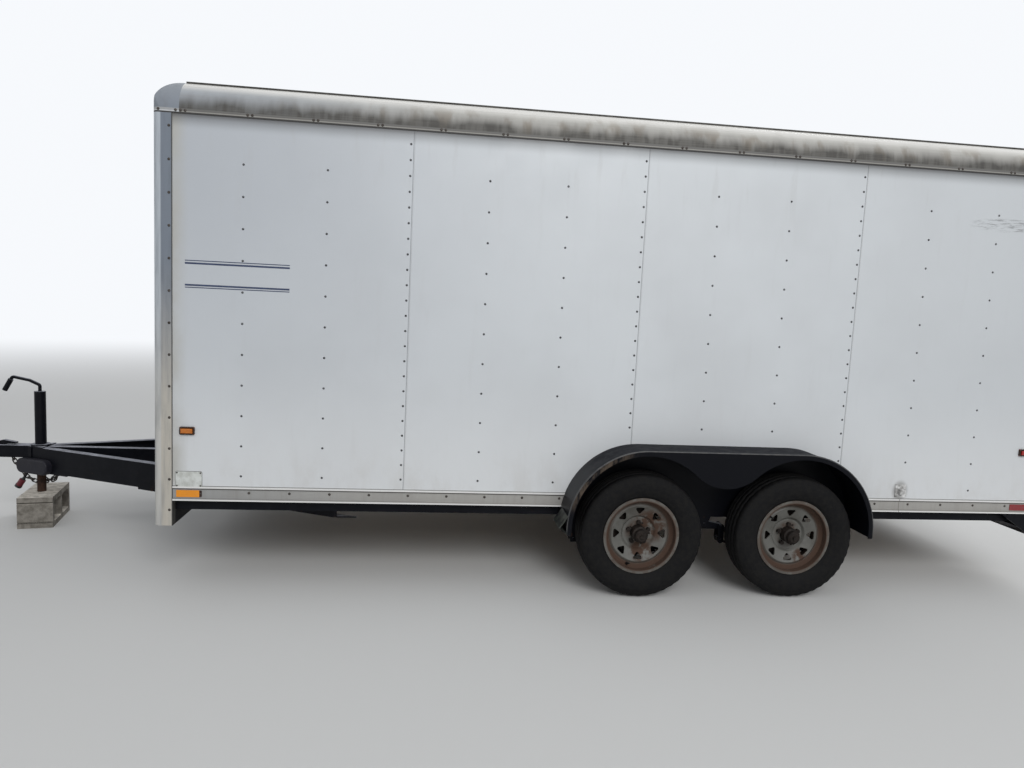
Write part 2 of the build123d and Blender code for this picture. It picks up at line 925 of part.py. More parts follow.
# Fenders
def arch_shape(radius):
    # The outside of the fender seen from the side: two arches and the flat between them.
    level = tyre_radius + arch_above_axle
    top = level + radius
    shape = Pos(axle_x[0], level) * Circle(radius) + Pos(axle_x[1], level) * Circle(radius)
    shape += Pos((axle_x[0] + axle_x[1]) / 2, (level + top) / 2) * Rectangle(axle_spacing, radius)
    long = axle_spacing + 2 * radius
    middle = (axle_x[0] + axle_x[1]) / 2
    below = Pos(middle, level - radius / 2) * Rectangle(long, radius)
    shape -= below
    shape += Pos(middle, (level + fender_end) / 2) * Rectangle(long, level - fender_end)
    return shape


def skirt_opening():
    # The open part of the outer face: two arches, and under the skirt between them, whose rounded
    # tip runs smoothly into both.
    level = tyre_radius + arch_above_axle
    middle = (axle_x[0] + axle_x[1]) / 2
    half = axle_spacing / 2
    rise = skirt_low - level
    tip_radius = (half ** 2 + rise ** 2 - arch_radius ** 2) / (2 * (arch_radius - rise))
    tip_z = skirt_low + tip_radius
    share = arch_radius / (arch_radius + tip_radius)
    touch_x = half * share
    touch_z = level + (tip_z - level) * share
    long = axle_spacing + 2 * arch_radius
    shape = Pos(axle_x[0], level) * Circle(arch_radius) + Pos(axle_x[1], level) * Circle(arch_radius)
    shape -= Pos(middle, level - arch_radius / 2) * Rectangle(long, arch_radius)
    under = Pos(middle, (level + touch_z) / 2) * Rectangle(2 * (half - touch_x), touch_z - level)
    shape += under - Pos(middle, tip_z) * Circle(tip_radius)
    return shape + Pos(middle, (level + fender_end) / 2) * Rectangle(long, level - fender_end)


def make_fender():
    outer = arch_shape(arch_radius + fender_band)
    inner = arch_shape(arch_radius + fender_band - fender_steel)
    band = outer - inner
    tall = 4 * fender_steel
    middle = (axle_x[0] + axle_x[1]) / 2
    width = axle_spacing + 2 * (arch_radius + fender_band - fender_steel)
    band -= Pos(middle, fender_end) * Rectangle(width, tall)
    fender = prism_along_y(band, inner_half, half_width + fender_reach)
    face = outer - skirt_opening()
    face -= Pos(middle, fender_end) * Rectangle(axle_spacing + 2 * arch_radius, tall)
    fender += prism_along_y(face, half_width + fender_reach - fender_steel, half_width + fender_reach)
    below = Pos(middle, main_rail_bottom - arch_radius) * Rectangle(2 * width, 2 * arch_radius)
    back = prism_along_y(outer - below, inner_half, inner_half + fender_steel)
    # The front end's sheet is folded forward into a toe.
    x = axle_x[0] - arch_radius - fender_band
    low = fender_end + tall / 2
    steel = fender_steel
    toe = outline(
        (x, low + toe_height),
        (x - toe_ahead, low + toe_height / 3),
        (x, low),
        (x + steel, low),
        (x + steel, low + steel),
        (x - toe_ahead + 2 * steel, low + toe_height / 3),
        (x + steel, low + toe_height),
    )
    outside = half_width + fender_reach
    return fender + back + prism_along_y(toe, outside - toe_depth, outside)


# Box body
def make_sheets():
    edges = [frame_front_x, first_seam_x]
    while edges[-1] + sheet_pitch < frame_rear_x:
        edges.append(edges[-1] + sheet_pitch)
    edges[-1] = frame_rear_x
    sheets = []
    for x0, x1 in zip(edges[:-1], edges[1:]):
        end = x1 - sheet_gap if x1 < frame_rear_x else x1
        sheets.append(block(x0, end, inner_half, half_width, rail_top, cove_bottom))
    return sheets


def cut_for_fender(shape):
    opening = prism_along_y(arch_shape(arch_radius + fender_band + 0.3), inner_half - 1, half_width + 10)
    return shape - opening


def side_door_opening():
    x0 = front_x + side_door_from_front
    x1 = x0 + side_door_width
    z1 = side_door_bottom + side_door_height
    return block(x0, x1, inner_half - 10, half_width + 10, side_door_bottom, z1)


def make_bottom_rails():
    low = rail_bottom
    high = rail_top
    bead = rail_bead
    proud = half_width + rail_proud
    metal = rail_metal
    profile = outline(
        (inner_half, low),
        (proud, low),
        (proud, low + bead),
        (half_width, low + bead),
        (half_width, high - bead),
        (proud, high - bead),
        (proud, high),
        (inner_half, high),
        (inner_half, high - metal),
        (half_width - metal, high - metal),
        (half_width - metal, low + metal),
        (inner_half, low + metal),
    )
    rail = cut_for_fender(prism_along_x(profile, frame_front_x, frame_rear_x))
    return rail


def make_front_post():
    outer = Rectangle(post_width, post_width)
    corner = Pos(shell / 2, -shell / 2) * Rectangle(post_width - shell, post_width - shell)
    plan = Pos(front_x + post_width / 2, outer_half - post_width / 2) * (outer - corner)
    post = prism_along_z(plan, post_bottom, cove_bottom)
    return post & rounded_corner(post_bottom, cove_bottom)


def rounded_corner(low, high):
    # Everything behind the rounded upright edge where the front and the right side meet.
    plan = Pos((front_x + rear_x) / 2, 0) * Rectangle(body_length, 2 * outer_half)
    edge = plan.vertices().sort_by(Axis.X)[0:2].sort_by(Axis.Y)[-1:]
    return prism_along_z(fillet(edge, post_radius), low, high)


def cove_profile(inset):
    # Drawn as distance in from the outer face, and height.
    base = cove_bottom + cove_flange
    radius = cove_radius - inset
    start = (inset, base)
    middle_turn = math.radians(45)
    middle = (cove_radius - radius * math.cos(middle_turn), base + radius * math.sin(middle_turn))
    end = (cove_radius, base + radius)
    edges = Line((inset, cove_bottom), start) + ThreePointArc(start, middle, end)
    return edges, end


def cove_section(inset):
    edges, end = cove_profile(inset)
    edges += Polyline(end, (cove_radius, cove_bottom), (inset, cove_bottom))
    return make_face(edges.edges())


def crown(inset):
    # The body's solid top, rounded over both sides and the front.
    edge = outer_half - cove_radius
    right = Pos(outer_half, 0) * mirror(cove_section(inset), about=Plane.YZ)
    left = Pos(-outer_half, 0) * cove_section(inset)
    top = roof_top - inset
    flat = Pos(0, (cove_bottom + top) / 2) * Rectangle(2 * edge, top - cove_bottom)
    across = prism_along_x(left + flat + right, front_x, frame_rear_x)
    front = Pos(front_x, 0) * cove_section(inset)
    start = front_x + cove_radius
    long = frame_rear_x - start
    front += Pos(start + long / 2, (cove_bottom + top) / 2) * Rectangle(long, top - cove_bottom)
    return across & prism_along_y(front, -outer_half, outer_half)


def make_crown_shell():
    return crown(0) & rounded_corner(cove_bottom, roof_top) - crown(shell)


def crown_piece(crown_shell, x0, x1, y0, y1):
    return crown_shell & block(x0, x1, y0, y1, cove_bottom, roof_top)


def make_side_cove(crown_shell):
    edge = outer_half - cove_radius
    return crown_piece(crown_shell, front_x + cap_length, frame_rear_x, edge, outer_half)


def make_front_cove(crown_shell):
    edge = outer_half - cap_length
    cove = crown_piece(crown_shell, front_x, front_x + cove_radius, -edge, edge)
    inner = outer_half - cove_radius
    for side in (-1, 1):
        y0, y1 = sorted((side * inner, side * edge))
        corner = block(front_x + cap_length, front_x + cove_radius, y0, y1, cove_bottom, roof_top)
        cove -= corner
    return cove


def make_corner_cap(crown_shell):
    edge = outer_half - cap_length
    return crown_piece(crown_shell, front_x, front_x + cap_length, edge, outer_half)


def make_roof():
    edge = outer_half - cove_radius
    return block(front_x + cove_radius, frame_rear_x, -edge, edge, roof_top - shell, roof_top)


def make_front_wall():
    edge = outer_half - post_width
    x0 = front_x + skin_proud
    return block(x0, x0 + wall, -edge, edge, main_rail_top, cove_bottom)


def make_deck(posts):
    deck = block(
        front_x + shell, rear_x - door_thickness - door_gap, -inner_half, inner_half,
        deck_bottom, deck_top,
    )
    for post in posts:
        deck = deck - post
    return deck


def make_rear_post():
    inner = half_width - rear_post_width
    return block(frame_rear_x, rear_x, inner, outer_half, main_rail_top, cove_bottom)


def make_rear_header():
    side = cove_section(0)
    right = Pos(outer_half, 0) * mirror(side, about=Plane.YZ)
    left = Pos(-outer_half, 0) * side
    edge = outer_half - cove_radius
    middle = Pos(0, (cove_bottom + roof_top) / 2) * Rectangle(2 * edge, roof_top - cove_bottom)
    return prism_along_x(left + right + middle, frame_rear_x, rear_x)


# Doors
rear_leaf_low = main_rail_top + door_gap
rear_leaf_high = cove_bottom - door_gap
hinge_pin_x = rear_x + hinge_stand
hinge_pin_y = half_width + hinge_stand
leaf_edge_y = half_width - rear_post_width - door_gap


def hinge_levels():
    height = rear_leaf_high - rear_leaf_low
    return [rear_leaf_low + height * (index + 0.5) / hinge_count for index in range(hinge_count)]


def make_rear_leaf():
    x1 = rear_x + door_proud
    leaf = block(x1 - door_thickness, x1, door_gap / 2, leaf_edge_y, rear_leaf_low, rear_leaf_high)
    return leaf


def make_rear_straps():
    strap = None
    x0 = rear_x + door_proud
    for z in hinge_levels():
        low = z - hinge_height / 2
        high = z + hinge_height / 2
        piece = block(x0, x0 + strap_steel, leaf_edge_y - strap_length, hinge_pin_y, low, high)
        piece += Pos(hinge_pin_x, hinge_pin_y, z) * Cylinder(hinge_radius, hinge_height)
        piece += block(x0, hinge_pin_x, hinge_pin_y - hinge_radius, hinge_pin_y, low, high)
        piece -= Pos(hinge_pin_x, hinge_pin_y, z) * Cylinder(hinge_radius / 2 + pin_clearance, hinge_height)
        strap = piece if strap is None else strap + piece
    return strap


def make_hinge_ears():
    ears = []
    for z in hinge_levels():
        plan = outline(
            (rear_x - 2 * hinge_stand, outer_half),
            (rear_x, outer_half),
            (hinge_pin_x + hinge_radius * 0.7, hinge_pin_y - hinge_radius * 0.7),
            (hinge_pin_x - hinge_radius * 0.7, hinge_pin_y + hinge_radius * 0.7),
        )
        plan += Pos(hinge_pin_x, hinge_pin_y) * Circle(hinge_radius)
        start = hinge_height / 2 + hinge_play
        piece = prism_along_z(plan, z + start, z + start + hinge_ear)
        piece += prism_along_z(plan, z - start - hinge_ear, z - start)
        pin_length = 2 * (start + hinge_ear)
        piece += Pos(hinge_pin_x, hinge_pin_y, z) * Cylinder(hinge_radius / 2, pin_length)
        ears.append(piece)
    return ears


def lock_bar_place():
    x = rear_x + door_proud + lock_bar_stand + lock_bar_radius
    y = leaf_edge_y - lock_bar_from_hinge
    return x, y


def make_lock_bar():
    x, y = lock_bar_place()
    low = rear_leaf_low - lock_bar_overrun
    high = rear_leaf_high + lock_bar_overrun
    bar = Pos(x, y, (low + high) / 2) * Cylinder(lock_bar_radius, high - low)
    face = rear_x + door_proud
    first = rear_leaf_low + guide_from_end
    step = (rear_leaf_high - rear_leaf_low - 2 * guide_from_end) / (lock_bar_guides - 1)
    for index in range(lock_bar_guides):
        z = first + index * step
        bar += block(
            face, x, y - guide_width / 2, y + guide_width / 2, z - guide_height / 2, z + guide_height / 2,
        )
    z = rear_leaf_low + lock_grip_level
    half = lock_grip_height / 2
    steel = lock_grip_steel / 2
    grip_end = y + lock_grip_length
    bar += block(x - steel, x + steel, y, grip_end, z - half, z + half)
    bar += block(face, x - steel, grip_end - guide_width, grip_end - steel, z - 1.5 * half, z + 1.5 * half)
    return bar


def make_keepers():
    y = lock_bar_place()[1]
    keepers = []
    inside = lock_bar_radius + keeper_gap
    outside = inside + keeper_steel
    for z in (rear_leaf_low - door_gap - lock_bar_overrun, rear_leaf_high + door_gap):
        for edge in (-1, 1):
            y0, y1 = sorted((y + edge * inside, y + edge * outside))
            keepers.append(block(rear_x, rear_x + keeper_depth, y0, y1, z, z + lock_bar_overrun))
    return keepers


side_pin_x = front_x + side_door_from_front
side_pin_y = half_width + door_proud + side_hinge_radius


def side_hinge_levels():
    start = side_door_bottom + side_hinge_from_end
    step = (side_door_height - 2 * side_hinge_from_end) / (side_hinge_count - 1)
    return [start + index * step for index in range(side_hinge_count)]


def make_side_door():
    x0 = side_pin_x + side_door_gap
    x1 = side_pin_x + side_door_width - side_door_gap
    z0 = side_door_bottom + side_door_gap
    z1 = side_door_bottom + side_door_height - side_door_gap
    y1 = half_width + door_proud
    leaf = block(x0, x1, y1 - door_thickness, y1, z0, z1)
    half = side_knuckle / 2
    for z in side_hinge_levels():
        leaf += block(side_pin_x, x0 + side_hinge_leaf, y1, y1 + side_hinge_steel, z - half, z + half)
        leaf += Pos(side_pin_x, side_pin_y, z) * Cylinder(side_hinge_radius, side_knuckle)
        leaf -= Pos(side_pin_x, side_pin_y, z) * Cylinder(side_pin_radius + pin_clearance, side_knuckle)
    latch_z = z0 + latch_height_share * (z1 - z0)
    latch_x = x1 - latch_from_edge
    latch = Pos(latch_x, latch_z) * RectangleRounded(latch_width, latch_height, latch_width / 6)
    leaf += prism_along_y(latch, y1, y1 + latch_proud)
    handle = Pos(latch_x, latch_z) * RectangleRounded(latch_width * 0.6, latch_height * 0.5, latch_width / 8)
    leaf -= prism_along_y(handle, y1 + latch_proud / 2, y1 + latch_proud)
    return leaf


def make_side_door_frame():
    # A flat trim round the opening, with the hinges' outer knuckles and pins on its front edge.
    x1 = side_pin_x + side_door_width
    z0 = side_door_bottom
    z1 = side_door_bottom + side_door_height
    trim = side_trim_width
    frame = block(
        side_pin_x - trim, x1 + trim, half_width, outer_half, z0 - trim, z1 + trim,
    )
    frame -= block(side_pin_x, x1, half_width, outer_half, z0, z1)
    start = side_knuckle / 2 + hinge_play
    for z in side_hinge_levels():
        for low in (z + start, z - start - side_hinge_ear):
            high = low + side_hinge_ear
            frame += block(side_pin_x - trim, side_pin_x, half_width, side_pin_y, low, high)
            ear = Cylinder(side_hinge_radius, side_hinge_ear)
            frame += Pos(side_pin_x, side_pin_y, (low + high) / 2) * ear
        pin_length = 2 * (start + side_hinge_ear)
        frame += Pos(side_pin_x, side_pin_y, z) * Cylinder(side_pin_radius, pin_length)
    return frame


# Lamps and catches
def make_marker(outer_face):
    # A marker lamp on the plane of the given face: a flat base and a lens that stands out of it.
    base = extrude(outer_face * Rectangle(lamp_length, lamp_height), amount=lamp_base)
    lens = Rectangle(lamp_length - 2 * lamp_frame, lamp_height - 2 * lamp_frame)
    lens = extrude(outer_face * lens, amount=lamp_proud)
    rim = lens.faces().sort_by(Axis(outer_face.origin, outer_face.z_dir))[-1]
    return base + fillet(rim.edges(), lens_edge)


def side_face(x, z):
    # The body's right side as a plane, with its X along the trailer and its Z outward.
    return Plane(origin=(x, half_width, z), x_dir=(-1, 0, 0), z_dir=(0, 1, 0))


def make_side_lamps(marker_x, reflector_x):
    level = lamp_level + lamp_height / 2
    lamps = both_sides(make_marker(side_face(marker_x + lamp_length / 2, level)))
    low = rail_bottom + (rail_height - reflector_height) / 2
    reflector = block(
        reflector_x, reflector_x + reflector_length, half_width, half_width + reflector_proud,
        low, low + reflector_height,
    )
    return lamps + both_sides(reflector)


def make_amber_lamps():
    return make_side_lamps(front_x + front_lamp_from_front, front_x + front_reflector_from_front)


def make_red_lamps():
    lamps = make_side_lamps(rear_x - rear_lamp_from_rear, rear_x - rear_reflector_from_rear)
    tail_y = half_width - rear_post_width - tail_lamp_length / 2
    tail = Pos(tail_y, (post_bottom + main_rail_top) / 2)
    base = tail * SlotOverall(tail_lamp_length, tail_lamp_height)
    lens = tail * SlotOverall(tail_lamp_length - 2 * lamp_frame, tail_lamp_height - 2 * lamp_frame)
    lamp = prism_along_x(base, rear_x, rear_x + tail_lamp_base)
    lamp += prism_along_x(lens, rear_x, rear_x + tail_lamp_proud)
    lamps += both_sides(lamp)
    level = (cove_bottom + roof_top) / 2
    for place in (-1, 0, 1):
        face = Plane(origin=(rear_x, place * header_lamp_step, level), x_dir=(0, 1, 0), z_dir=(1, 0, 0))
        lamps.append(make_marker(face))
    return lamps


def make_catches():
    x0 = axle_x[1] + arch_radius + fender_band + catch_behind_fender
    x1 = x0 + catch_length
    z0 = rail_top + catch_above_rail
    z1 = z0 + catch_height
    middle = (x0 + x1) / 2
    level = (z0 + z1) / 2
    catch = block(x0, x1, half_width, half_width + catch_plate, z0, z1)
    catch += block(
        middle - catch_knob_length / 2, middle + catch_knob_length / 2, half_width, half_width + catch_proud,
        level - catch_knob_height / 2, level + catch_knob_height / 2,
    )
    return both_sides(catch)


# Wiring cable and plug
def make_cable():
    # Each bend is as wide as the two straight runs beside it allow.
    points = [Vector(*cable_exit) + Vector(*step) for step in cable_route]
    radii = []
    for before, at, after in zip(points[:-2], points[1:-1], points[2:]):
        half_turn = math.radians((at - before).get_angle(after - at)) / 2
        shorter = min((at - before).length, (after - at).length)
        radii.append(0.45 * shorter / math.tan(half_turn))
    print("cable bends to radii", [round(radius) for radius in radii])
    path = FilletPolyline(*points, radius=radii)
    section = Plane(origin=path @ 0, z_dir=path % 0) * Circle(cable_radius)
    return sweep(section, path=path)


def turned_along(origin, direction, edges):
    # The edges are drawn with X as the radius and Y as the distance along the direction.
    shape = revolve(make_face(edges), axis=Axis.Y, revolution_arc=360)
    return Plane(origin=origin, z_dir=direction) * Rot(90, 0, 0) * shape


def make_plug():
    points = [Vector(*cable_exit) + Vector(*step) for step in cable_route]
    direction = (points[-1] - points[-2]).normalized()
    body = plug_length - plug_collar
    socket = plug_radius - 2 * lens_edge
    profile = Polyline(
        (0, 0),
        (cable_radius + 2, 0),
        (cable_radius + 5, plug_neck),
        (plug_radius, plug_neck + 6),
        (plug_radius, body),
        (plug_collar_radius, body),
        (plug_collar_radius, plug_length),
        (socket, plug_length),
        (socket, plug_length - plug_socket),
        (0, plug_length - plug_socket),
        close=True,
    )
    return turned_along(points[-1], direction, profile.edges())


def make_gland():
    x, y, z = cable_exit
    boss = Pos(x, y, (z + tongue_top) / 2) * Cylinder(gland_radius - 3, tongue_top - z)
    nut = prism_along_z(Pos(x, y) * RegularPolygon(gland_radius, 6), tongue_top - gland_nut, tongue_top)
    return boss + nut


# Safety chains
# A link's half width and half straight length, both to the middle of its wire.
link_across = link_inner_width / 2 + link_wire
link_straight = link_inner_length / 2 + link_wire - link_across
# How far the next link's wire lies past the middle of a link's round end.
link_play = link_across - 2 * link_wire - link_slack


def make_link():
    # One welded link, lying in X and Y with its length along X, its wire six-sided.
    corner = link_across * math.tan(math.radians(15))
    flat = link_across * math.tan(math.radians(30))
    right = [(link_straight + corner, link_across, 0), (link_straight + link_across, flat, 0)]
    right += [(x, -y, 0) for x, y, z in reversed(right)]
    left = [(-x, y, 0) for x, y, z in reversed(right)]
    path = Polyline(*right, *left, close=True)
    section = Plane(origin=path @ 0, z_dir=path % 0) * RegularPolygon(link_wire, 6)
    return sweep(section, path=path, transition=Transition.RIGHT)


def hanging_places(start, end, count):
    # Where the links of a chain that hangs between two ends turn on each other. Links that lie
    # in the chain's own plane turn about the middles of their round ends, and the links across
    # them reach from one such place to the next.
    long_step = 2 * (link_straight + link_across + link_play)
    steps = [2 * link_straight if index % 2 == 0 else long_step for index in range(count)]
    length = sum(steps)
    run = math.hypot(end[0] - start[0], end[1] - start[1])
    rise = end[2] - start[2]
    target = math.sqrt(length ** 2 - rise ** 2)
    low, high = run / 100, run * 100
    for _ in range(80):
        size = math.sqrt(low * high)
        if 2 * size * math.sinh(run / (2 * size)) > target:
            low = size
        else:
            high = size
    shift = run / 2 - size * math.atanh(rise / length)
    base = start[2] - size * math.cosh(shift / size)

    def place(along):
        x = start[0] + along / run * (end[0] - start[0])
        y = start[1] + along / run * (end[1] - start[1])
        return Vector(x, y, base + size * math.cosh((along - shift) / size))

    places = [place(0)]
    along = 0
    for step in steps:
        near, far = along, along + step
        for _ in range(50):
            along = (near + far) / 2
            if (place(along) - places[-1]).length < step:
                near = along
            else:
                far = along
        places.append(place(along))
    return places


def chain_bar(places):
    # The middle of the bar that an end link hangs on, inside the link's round end.
    along = (places[1] - places[0]).normalized()
    return places[0] - along * link_play


def make_chain_pin(start, end, count):
    # A headed pin that stands out of the coupler's side and holds a chain's first link.
    bar = chain_bar(hanging_places(start, end, count))
    low = coupler_side_at(bar.X) - coupler_steel / 2
    high = bar.Y + 2 * link_wire
    pin = Pos(bar.X, (low + high) / 2, bar.Z) * Rot(90, 0, 0) * Cylinder(link_wire, high - low)
    head_thickness = link_wire
    head = Pos(bar.X, high + head_thickness / 2, bar.Z) * Rot(90, 0, 0)
    return pin + head * Cylinder(chain_pin_head, head_thickness)


def make_chain_eye(start, end, count):
    # A small loop of bar under the tongue's bottom plate that holds a chain's last link.
    bar = chain_bar(hanging_places(start, end, count)[::-1])
    reach = link_wire + chain_pin_head
    eye = Pos(bar) * Rot(90, 0, 0) * Cylinder(link_wire, 2 * reach)
    for side in (-1, 1):
        edge = bar.Y + side * reach
        x0 = bar.X - link_wire
        x1 = bar.X + link_wire
        eye += block(x0, x1, edge - link_wire, edge + link_wire, bar.Z - link_wire, plate_low)
    return eye


def make_chain(start, end, count):
    link = make_link()
    places = hanging_places(start, end, count)
    across = (Vector(*end) - Vector(*start))
    side = Vector(0, 0, 1).cross(Vector(across.X, across.Y, 0)).normalized()
    links = []
    for index in range(count):
        along = (places[index + 1] - places[index]).normalized()
        # Each link lies across the one before it.
        flat = side if index % 2 == 0 else along.cross(side)
        middle = (places[index] + places[index + 1]) / 2
        links.append(Plane(origin=middle, x_dir=along, z_dir=flat) * link)
    return links


def main():
    os.makedirs("parts", exist_ok=True)
    rails = make_main_rails()
    save("main_rails", *rails)
    save("crossmembers", *make_crossmembers(rails))
    tongue = make_tongue_rails()
    centre = make_centre_member()
    save("tongue_rails", *tongue)
    save("tongue_centre_member", centre)
    save("tongue_plates", *make_tongue_plates())
    posts = both_sides(make_front_post())
    save("front_posts", *posts)
    save("front_skirt", make_front_skirt(tongue + [centre], posts))
    save("rear_sill", make_rear_sill())
    save("coupler", make_coupler())
    save("jack_tube", make_jack_tube())
    save("jack_leg", make_jack_leg())
    save("tongue_case", make_tongue_case())
    save("concrete_block", make_concrete_block())
    save("axles", make_axle(axle_x[0]), make_axle(axle_x[1]))
    springs = [make_spring(x, side) for x in axle_x for side in (-1, 1)]
    save("leaf_springs", *springs)
    save("spring_hangers", *make_spring_hangers())
    tyre = make_tyre()
    wheel = make_wheel()
    hub = make_hub()
    for end, x in zip(("front", "rear"), axle_x):
        for side_name, side in (("left", -1), ("right", 1)):
            place = Pos(x, side * wheel_y, tyre_radius)
            for node, shape in (("tyre", tyre), ("wheel", wheel), ("hub", hub)):
                shape = shape if side > 0 else other_side(shape)
                save(f"{node}_{end}_{side_name}", place * shape)
    fender = make_fender()
    save("fender_right", fender)
    save("fender_left", other_side(fender))
    sheets = [cut_for_fender(sheet) for sheet in make_sheets()]
    save("left_wall", *[other_side(sheet) for sheet in sheets])
    save("right_wall", *[sheet - side_door_opening() for sheet in sheets])
    save("bottom_rails", *both_sides(make_bottom_rails()))
    save("front_wall", make_front_wall())
    crown_shell = make_crown_shell()
    cove = make_side_cove(crown_shell)
    save("cove_right", cove)
    save("cove_left", other_side(cove))
    save("cove_front", make_front_cove(crown_shell))
    save("corner_caps", *both_sides(make_corner_cap(crown_shell)))
    save("roof_panel", make_roof())
    rear_post = make_rear_post()
    for ear in make_hinge_ears():
        rear_post += ear
    rear_posts = both_sides(rear_post)
    save("rear_posts", *rear_posts)
    save("floor_deck", make_deck(posts + rear_posts))
    save("rear_header", make_rear_header())
    save("lock_keepers", *[piece for keeper in make_keepers() for piece in both_sides(keeper)])
    leaf = make_rear_leaf()
    save("rear_door_right", leaf)
    save("rear_door_left", other_side(leaf))
    straps = make_rear_straps()
    save("hinge_straps_right", straps)
    save("hinge_straps_left", other_side(straps))
    bar = make_lock_bar()
    save("lock_bar_right", bar)
    save("lock_bar_left", other_side(bar))
    save("side_door", make_side_door())
    save("side_door_frame", make_side_door_frame())
    save("amber_lamps", *make_amber_lamps())
    save("red_lamps", *make_red_lamps())
    save("door_catches", *make_catches())
    links = []
    for run in chain_runs:
        links += make_chain(*run)
    save("safety_chains", *links)
    save("trailer_cable", make_cable())
    save("cable_plug", make_plug())
    save("cable_gland", make_gland())


main()
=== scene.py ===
# %% [markdown]
# # Dressing an enclosed cargo trailer
#
# The rigid pieces of the trailer come from a CAD model that is already packed. This notebook loads
# them, paints them, and adds what is too fine for CAD: rivets, screws, tyre tread, frames round the
# lamps, stripes, sealant and dirt. Everything is in metres. X runs from the coupler back to the rear
# doors, Y to the trailer's right side, and Z up from the ground.

import math

import bmesh
import bpy
from mathutils import Matrix, Vector


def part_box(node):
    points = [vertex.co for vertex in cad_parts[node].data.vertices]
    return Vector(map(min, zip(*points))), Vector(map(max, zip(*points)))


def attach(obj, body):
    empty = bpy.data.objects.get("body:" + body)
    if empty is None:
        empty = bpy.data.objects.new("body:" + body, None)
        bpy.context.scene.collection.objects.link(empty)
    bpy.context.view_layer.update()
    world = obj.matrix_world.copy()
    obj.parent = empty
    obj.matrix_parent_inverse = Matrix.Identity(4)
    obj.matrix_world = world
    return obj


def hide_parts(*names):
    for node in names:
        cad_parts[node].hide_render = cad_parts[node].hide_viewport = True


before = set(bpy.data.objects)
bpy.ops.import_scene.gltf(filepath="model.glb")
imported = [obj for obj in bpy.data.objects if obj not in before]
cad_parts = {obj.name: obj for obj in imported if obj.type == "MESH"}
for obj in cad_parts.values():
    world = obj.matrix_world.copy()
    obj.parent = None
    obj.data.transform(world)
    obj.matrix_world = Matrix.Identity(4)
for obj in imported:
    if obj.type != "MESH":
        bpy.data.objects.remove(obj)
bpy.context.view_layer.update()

# %% [markdown]
# ## Where things are
#
# Sizes aren't typed twice. Each place below is read from the box of the CAD piece that it belongs to,
# so if the trailer is packed again with a longer body or another tyre, the dressing follows it.

# %% Read the places of the main pieces
side_y = -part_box("left_wall")[0].y
proud_y = -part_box("cove_left")[0].y
front_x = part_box("front_posts")[0].x
post_back_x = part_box("front_posts")[1].x
rear_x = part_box("rear_header")[1].x
rear_post_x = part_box("rear_header")[0].x
rail_low, rail_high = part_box("bottom_rails")[0].z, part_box("bottom_rails")[1].z
wall_low, wall_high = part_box("left_wall")[0].z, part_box("left_wall")[1].z
roof_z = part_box("roof_panel")[1].z
fender_low, fender_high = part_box("fender_left")
wheel_places = {}
for end in ("front", "rear"):
    for side in ("left", "right"):
        low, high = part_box(f"tyre_{end}_{side}")
        wheel_places[f"{end}_{side}"] = (low + high) / 2
tyre_radius = (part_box("tyre_front_left")[1].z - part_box("tyre_front_left")[0].z) / 2
print("body", round(rear_x - front_x, 3), "long, its side at", round(side_y, 3))
print("tyre radius", round(tyre_radius, 3))

# %% [markdown]
# ## Camera
#
# The photograph was taken from the trailer's left side, a little ahead of the wheels, with a wide lens.
# Three directions fix how the camera is turned: its right, its up and the way it looks. They come from
# lines that are level or upright on the real trailer, such as its seams and rails.

# %% Stand the camera where the photographer stood
camera_place = Vector((-0.445, -4.842, 1.493))
camera_right = Vector((0.99270, -0.11106, 0.04704))
camera_forward = Vector((0.11540, 0.98799, -0.10270)).normalized()
camera_up = camera_right.cross(camera_forward).normalized()
camera_right = camera_forward.cross(camera_up).normalized()
lens_mm = 25.40
sensor_mm = 36

camera = bpy.data.objects.new("camera", bpy.data.cameras.new("camera"))
bpy.context.scene.collection.objects.link(camera)
camera.data.lens = lens_mm
camera.data.sensor_width = sensor_mm
turn = Matrix((camera_right, camera_up, -camera_forward)).transposed()
camera.matrix_world = Matrix.Translation(camera_place) @ turn.to_4x4()
camera.data.clip_end = 100
bpy.context.scene.camera = camera
print("camera at", [round(v, 2) for v in camera.location], "with a", lens_mm, "mm lens")

# %% [markdown]
# ## Shader nodes in one line
#
# Every material here, and the sky too, is a tree of nodes. These helpers add a node, set or connect its
# inputs and give back what comes out of it, so that a material can be read like a formula.

# %% Write the node helpers
def new_node(tree, kind, inputs=None, **settings):
    made = tree.nodes.new(kind)
    for key, value in settings.items():
        setattr(made, key, value)
    for key, value in (inputs or {}).items():
        if isinstance(value, bpy.types.NodeSocket):
            tree.links.new(value, made.inputs[key])
        else:
            made.inputs[key].default_value = value
    return made


def number_math(tree, operation, *values):
    return new_node(tree, "ShaderNodeMath", dict(enumerate(values)), operation=operation).outputs[0]


def vector_math(tree, operation, *values):
    # A dot product, a length and a distance are numbers. The rest are vectors.
    made = new_node(tree, "ShaderNodeVectorMath", dict(enumerate(values)), operation=operation)
    is_number = operation in ("DOT_PRODUCT", "LENGTH", "DISTANCE")
    return made.outputs["Value" if is_number else "Vector"]


print("node helpers ready")

# %% [markdown]
# ## Floor, sky and lamps
#
# A plain pale floor carries the shadow. Far from the trailer it fades into the colour of the sky, so
# that no horizon line crosses the picture. The fade is in the floor's own material and only for what
# the camera or a reflection sees, so the light that the floor throws back isn't changed by it.
#
# The light is that of an open shade: a bright even sky and one large soft lamp square to the side that
# the camera sees, so that the front isn't brighter than the rear. A weaker lamp behind keeps the far
# sides from going flat. The view transform is Standard, so a colour renders about as it is written.

# %% Build the studio
floor_size = 90
floor_colour = (0.60, 0.60, 0.59, 1)
sky_colour = (0.93, 0.95, 0.98, 1)
sky_strength = 0.58
fade_from = 6.0
fade_to = 22.0


